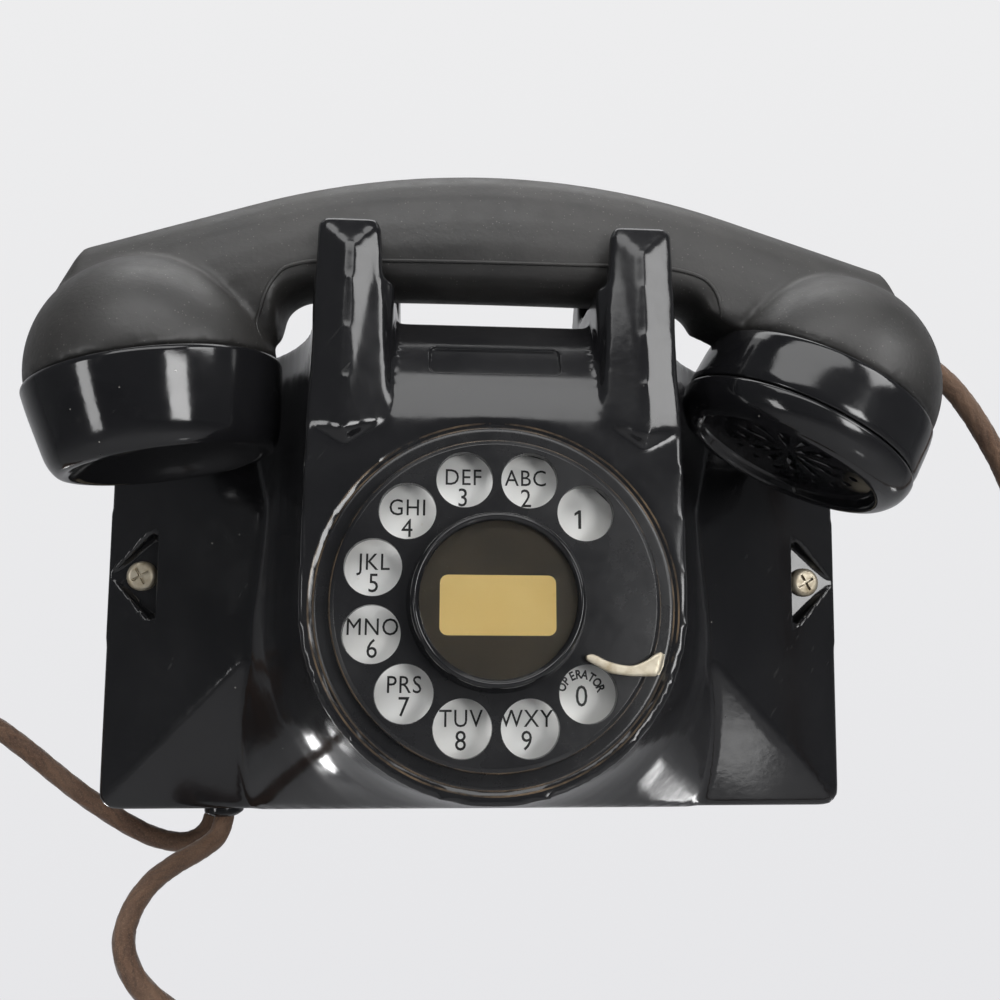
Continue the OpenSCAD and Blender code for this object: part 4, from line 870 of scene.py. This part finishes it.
joined("dialSigns", glyphs, ink, "base")

fingerStop = {"upper": [(18.9, -11.75), (19.6, -11.4), (20.9, -11.4), (24.2, -12.9), (28.6, -13.7),
                        (31.8, -12.7), (34.2, -11.2), (36.5, -10.3)],
              "lower": [(19.0, -12.15), (19.5, -12.75), (21.4, -13.8), (24.4, -15.3), (28.4, -15.9),
                        (31.2, -15.95), (33.2, -15.95), (34.95, -15.9)],
              "low": 4.9, "high": 6.4, "ends": [0.02, 0.55, 0.85, 1.0]}
stopFoot = {"outline": [(33.8, -15.6), (35.1, -15.6), (36.0, -13.8), (36.4, -11.2), (35.4, -11.2),
                        (34.5, -13.8)], "low": 0.02, "high": 4.95}


def stopSurface(look):
    # a bar between two outlines; its section is a superellipse, across = |cos|^0.45 and height = |sin|^0.6
    upper, lower = (smoothCurve(np.array(look[side]), 5) for side in ("upper", "lower"))
    ends = np.array(look["ends"])
    swell = np.ones(len(upper))
    swell[:len(ends)], swell[-len(ends):] = ends, ends[::-1]
    swell = swell[:, None]
    angle = np.linspace(0, 2 * np.pi, 28, endpoint=False)[None, :]
    across = np.sign(np.cos(angle)) * np.abs(np.cos(angle)) ** 0.45
    height = np.sign(np.sin(angle)) * np.abs(np.sin(angle)) ** 0.6
    middle, half = (upper + lower)[:, None] / 2, (upper - lower)[:, None] / 2
    flat = middle + (half * np.maximum(swell, 0.6)[..., None]) * across[..., None]
    rise = (look["low"] + look["high"]) / 2 + (look["high"] - look["low"]) / 2 * height * swell
    return np.concatenate([flat, rise[..., None]], -1) * mm


stopMesh = gridMesh("fingerStop", stopSurface(fingerStop), closeAcross=True)
work = bmesh.new()
work.from_mesh(stopMesh)
bmesh.ops.holes_fill(work, edges=[edge for edge in work.edges if edge.is_boundary])
bmesh.ops.recalc_face_normals(work, faces=work.faces)
work.to_mesh(stopMesh)
work.free()
stopMesh.shade_smooth()
stopMesh.transform(dialPlace)
stop = addObject("fingerStop", stopMesh, "base")
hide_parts("finger_stop")
dress(stop, wornNickel)
flatPiece("fingerStopFoot", stopFoot["outline"], stopFoot["low"], stopFoot["high"], wornNickel, "base")
dress(fineCopy("housing_screws", 0.15, angle=30, segments=2), wornNickel)

print("handset")
# the caps' outlines are (distance from the axis, height over the end of the handle, corner radius)
handset = {"voxel": 0.9, "rounds": 10, "earPlace": place((-83.2, -76, 49), -10.8, "Y"),
           "mouthPlace": place((85.2, -76, 50), 28, "Y"),
           "receiverCap": [(27.25, -0.3, 0), (30.2, -0.3, 0.3), (30.7, -1.2, 0.6), (30.0, -6, 3),
                           (27.4, -18.6, 2.5), (25.6, -21.6, 1.6), (24.2, -22.0, 0.8), (23, -21.7, 0.8),
                           (21.5, -20.8, 1.2), (17, -17.8, 3), (9, -15.6, 3), (0, -15, 0), (0, -12.5, 0),
                           (25.2, -12.5, 0), (25.2, -6.4, 0), (27.25, -6.4, 0)],
           "receiverHoles": {"circle": 5, "radius": 1.1, "low": -23, "high": -8},
           "collar": [(27.25, -0.3, 0), (29.2, -0.3, 0.4), (29.8, -1.1, 0.8), (30.2, -4, 2), (30.5, -12.2, 1.0),
                      (30.2, -13.6, 0.4), (25.2, -13.6, 0), (25.2, -6.4, 0), (27.25, -6.4, 0)],
           "transmitterCap": [(25, -13.9, 0), (30.1, -13.9, 0.4), (30.7, -14.6, 0.6), (30.5, -16.5, 1.5),
                              (29.6, -19, 2), (27.4, -21.4, 2), (25.4, -22.2, 0.8), (24.6, -22.2, 0.4),
                              (23.8, -21.6, 0.5), (23.1, -18.9, 1.2), (18, -18.2, 3), (0, -17.9, 0),
                              (0, -15.6, 0), (25, -15.6, 0)],
           "transmitterHoles": {"step": 5.8, "radius": 1.0, "low": -23, "high": -14}}
handleLip = {"radius": 0.5, "step": 0.8,
             "points": [(-57.0, -84.6, 57.5), (-57.0, -86.0, 62), (-56.1, -86.9, 65.3), (-54.7, -87.9, 69.2),
                        (-51.9, -88.15, 73.2), (-49.1, -88.2, 74.9), (-43.7, -88.15, 76.1), (-35.3, -88.1, 76.6),
                        (-26.0, -87.95, 76.9), (-9.8, -87.85, 77.2), (8.3, -87.9, 77.3), (27.8, -88.1, 77.3),
                        (37.9, -88.25, 77.2), (45.4, -88.3, 76.6), (51.2, -88.3, 74.9), (53.9, -88.2, 72.6),
                        (55.5, -88.0, 69.6), (56.1, -87.3, 66.5), (56.6, -85.6, 64.4)]}


def bead(name, look, surface):
    # a thin round line sunk by half into the surface: centre + radius * (cos a * side + sin a * third)
    path = evenly(smoothCurve(np.array(look["points"]), 8), look["step"])[0]
    tree = BVHTree.FromObject(surface, bpy.context.evaluated_depsgraph_get())
    path = np.array([tree.find_nearest(Vector(point) * mm)[0][:] for point in path]) / mm
    path[1:-1] = (path[:-2] + 2 * path[1:-1] + path[2:]) / 4
    side, third = crossways(path)
    angle = np.linspace(0, 2 * np.pi, 12, endpoint=False)[None, :, None]
    thin = np.clip(stepsFromEnd(path) / 6, 0.05, 1)[:, None, None]
    around = np.cos(angle) * side[:, None] + np.sin(angle) * third[:, None]
    ring = path[:, None] + look["radius"] * thin * around
    mesh = gridMesh(name, ring * mm, closeAcross=True)
    dress(addObject(name, mesh, "handset"), handleBakelite)


def capHoles(rings, step):
    # ring k has 6k holes on a circle of k steps, and ring 0 is one hole in the middle
    spots = []
    for k in rings:
        angle = np.linspace(0, 2 * np.pi, max(1, 6 * k), endpoint=False)
        spots.extend(zip(step * k * np.cos(angle), step * k * np.sin(angle)))
    return spots


handle = softCopy("handset_handle", handset["voxel"], handset["rounds"])
dress(handle, handleBakelite)
bead("handleLip", handleLip, handle)
receiverCap = lathe("receiverCap", "receiver_cap", handset["receiverCap"], handset["earPlace"], capBakelite)
holes = handset["receiverHoles"]
drill(receiverCap, capHoles((0, 1), holes["circle"]), holes["radius"], holes["low"], holes["high"],
      handset["earPlace"])
lathe("transmitterCollar", "transmitter_collar", handset["collar"], handset["mouthPlace"], capBakelite)
transmitterCap = lathe("transmitterCap", "transmitter_cap", handset["transmitterCap"], handset["mouthPlace"],
                       capBakelite)
holes = handset["transmitterHoles"]
drill(transmitterCap, capHoles((1, 2, 3), holes["step"]), holes["radius"], holes["low"], holes["high"],
      handset["mouthPlace"])
dress(fineCopy("cord_sleeve", 0.4), handleBakelite)
dress(fineCopy("cord_bushings", 0.3, segments=2), bakelite)

print("finishes")
# pieces that keep their CAD shape
finishes = {"zinc_steel": steel, "nickel": nickel, "brass": brass, "spring_steel": springSteel,
            "brown_fibre": fibre, "wound_coil": winding, "unit_metal": alloy, "tower_bakelite": bakelite,
            "brown_cloth": cloth}
for part in frame["record"]["subparts"]:
    kept = nodes[part["node"]]
    if part["material_slot"] in finishes and not kept.hide_render:
        kept.data.materials.clear()
        kept.data.materials.append(finishes[part["material_slot"]])

print("stage")


def panel(name, size, at, tilt, material):
    # a flat sheet of the room
    mesh = bpy.data.meshes.new(name)
    w, h = size[0] / 2, size[1] / 2
    mesh.from_pydata([(-w, -h, 0), (w, -h, 0), (w, h, 0), (-w, h, 0)], [], [(0, 1, 2, 3)])
    made = addObject(name, mesh)
    made.matrix_world = Matrix.Translation(at) @ Matrix.Rotation(math.radians(tilt), 4, "X")
    mesh.materials.append(material)
    return made


def makeBackdrop():
    # to the camera it is a pale tone that brightens upwards; in reflections it is a lit wall
    material, tree, shader = newMaterial("backdrop")
    shader.inputs["Base Color"].default_value = (0.5, 0.5, 0.51, 1)
    shader.inputs["Roughness"].default_value = 0.9
    height = add(tree, "SeparateXYZ", s_0=add(tree, "TexCoord").outputs["Object"]).outputs[1]
    tone = mixColor(tree, ramp(tree, height, -0.6, 0.5), (0.79, 0.79, 0.81), (0.86, 0.86, 0.865))
    even = add(tree, "Emission", s_Color=tone, s_Strength=1.0)
    seen = add(tree, "LightPath").outputs["Is Camera Ray"]
    mix = add(tree, "MixShader", s_0=seen, s_1=shader.outputs[0], s_2=even.outputs[0])
    tree.links.new(mix.outputs[0], tree.nodes["Material Output"].inputs["Surface"])
    return material


backdrop = makeBackdrop()
wall = panel("wallBackdrop", (6, 4), (0, 0.45, 0.2), 90, backdrop)
floor = panel("floorBackdrop", (6, 4), (0, -1.2, -0.6), 0, backdrop)


def softLight(name, at, aim, size, power):
    # a rectangular lamp that the camera does not see
    data = bpy.data.lights.new(name, "AREA")
    data.shape, data.size, data.size_y, data.energy = "RECTANGLE", size[0], size[1], power
    made = bpy.data.objects.new(name, data)
    turned = (Vector(aim) - Vector(at)).to_track_quat("-Z", "Y")
    made.matrix_world = Matrix.Translation(at) @ turned.to_matrix().to_4x4()
    made.visible_camera = False
    scene.collection.objects.link(made)


softLight("ceilingLight", (0.0, 0.12, 1.1), (0, -0.03, 0), (1.1, 0.5), 4.5)
softLight("frontLight", (-0.1, -1.0, 1.05), (0, -0.05, 0), (1.4, 0.8), 12)
softLight("sideFill", (0.52, -1.02, 0.02), (0, -0.09, 0), (0.32, 0.32), 3.6)
softLight("windowLight", (0.80, -0.72, 0.50), (0, -0.09, 0.03), (0.45, 0.45), 4.2)
softLight("leftLight", (-0.85, -0.85, -0.08), (0, -0.09, 0.03), (0.20, 0.45), 2.0)
softLight("lowLeftLight", (-0.56, 0.40, -0.5), (-0.04, -0.07, -0.05), (0.10, 0.16), 0.7)
softLight("lowRightLight", (0.605, 0.24, -0.5), (0.04, -0.06, -0.05), (0.03, 0.10), 0.13)
softLight("tableLight", (0.215, -0.31, -0.44), (0.07, -0.04, -0.05), (0.07, 0.05), 0.035)
softLight("wallLight", (0, 0.1, 1.5), (0, 0.45, 0.0), (2.5, 0.3), 3)
scene.world = bpy.data.worlds.new("room")
scene.world.use_nodes = True
room = scene.world.node_tree.nodes["Background"]
room.inputs["Color"].default_value = (0.92, 0.95, 1.0, 1)
room.inputs["Strength"].default_value = 0.13
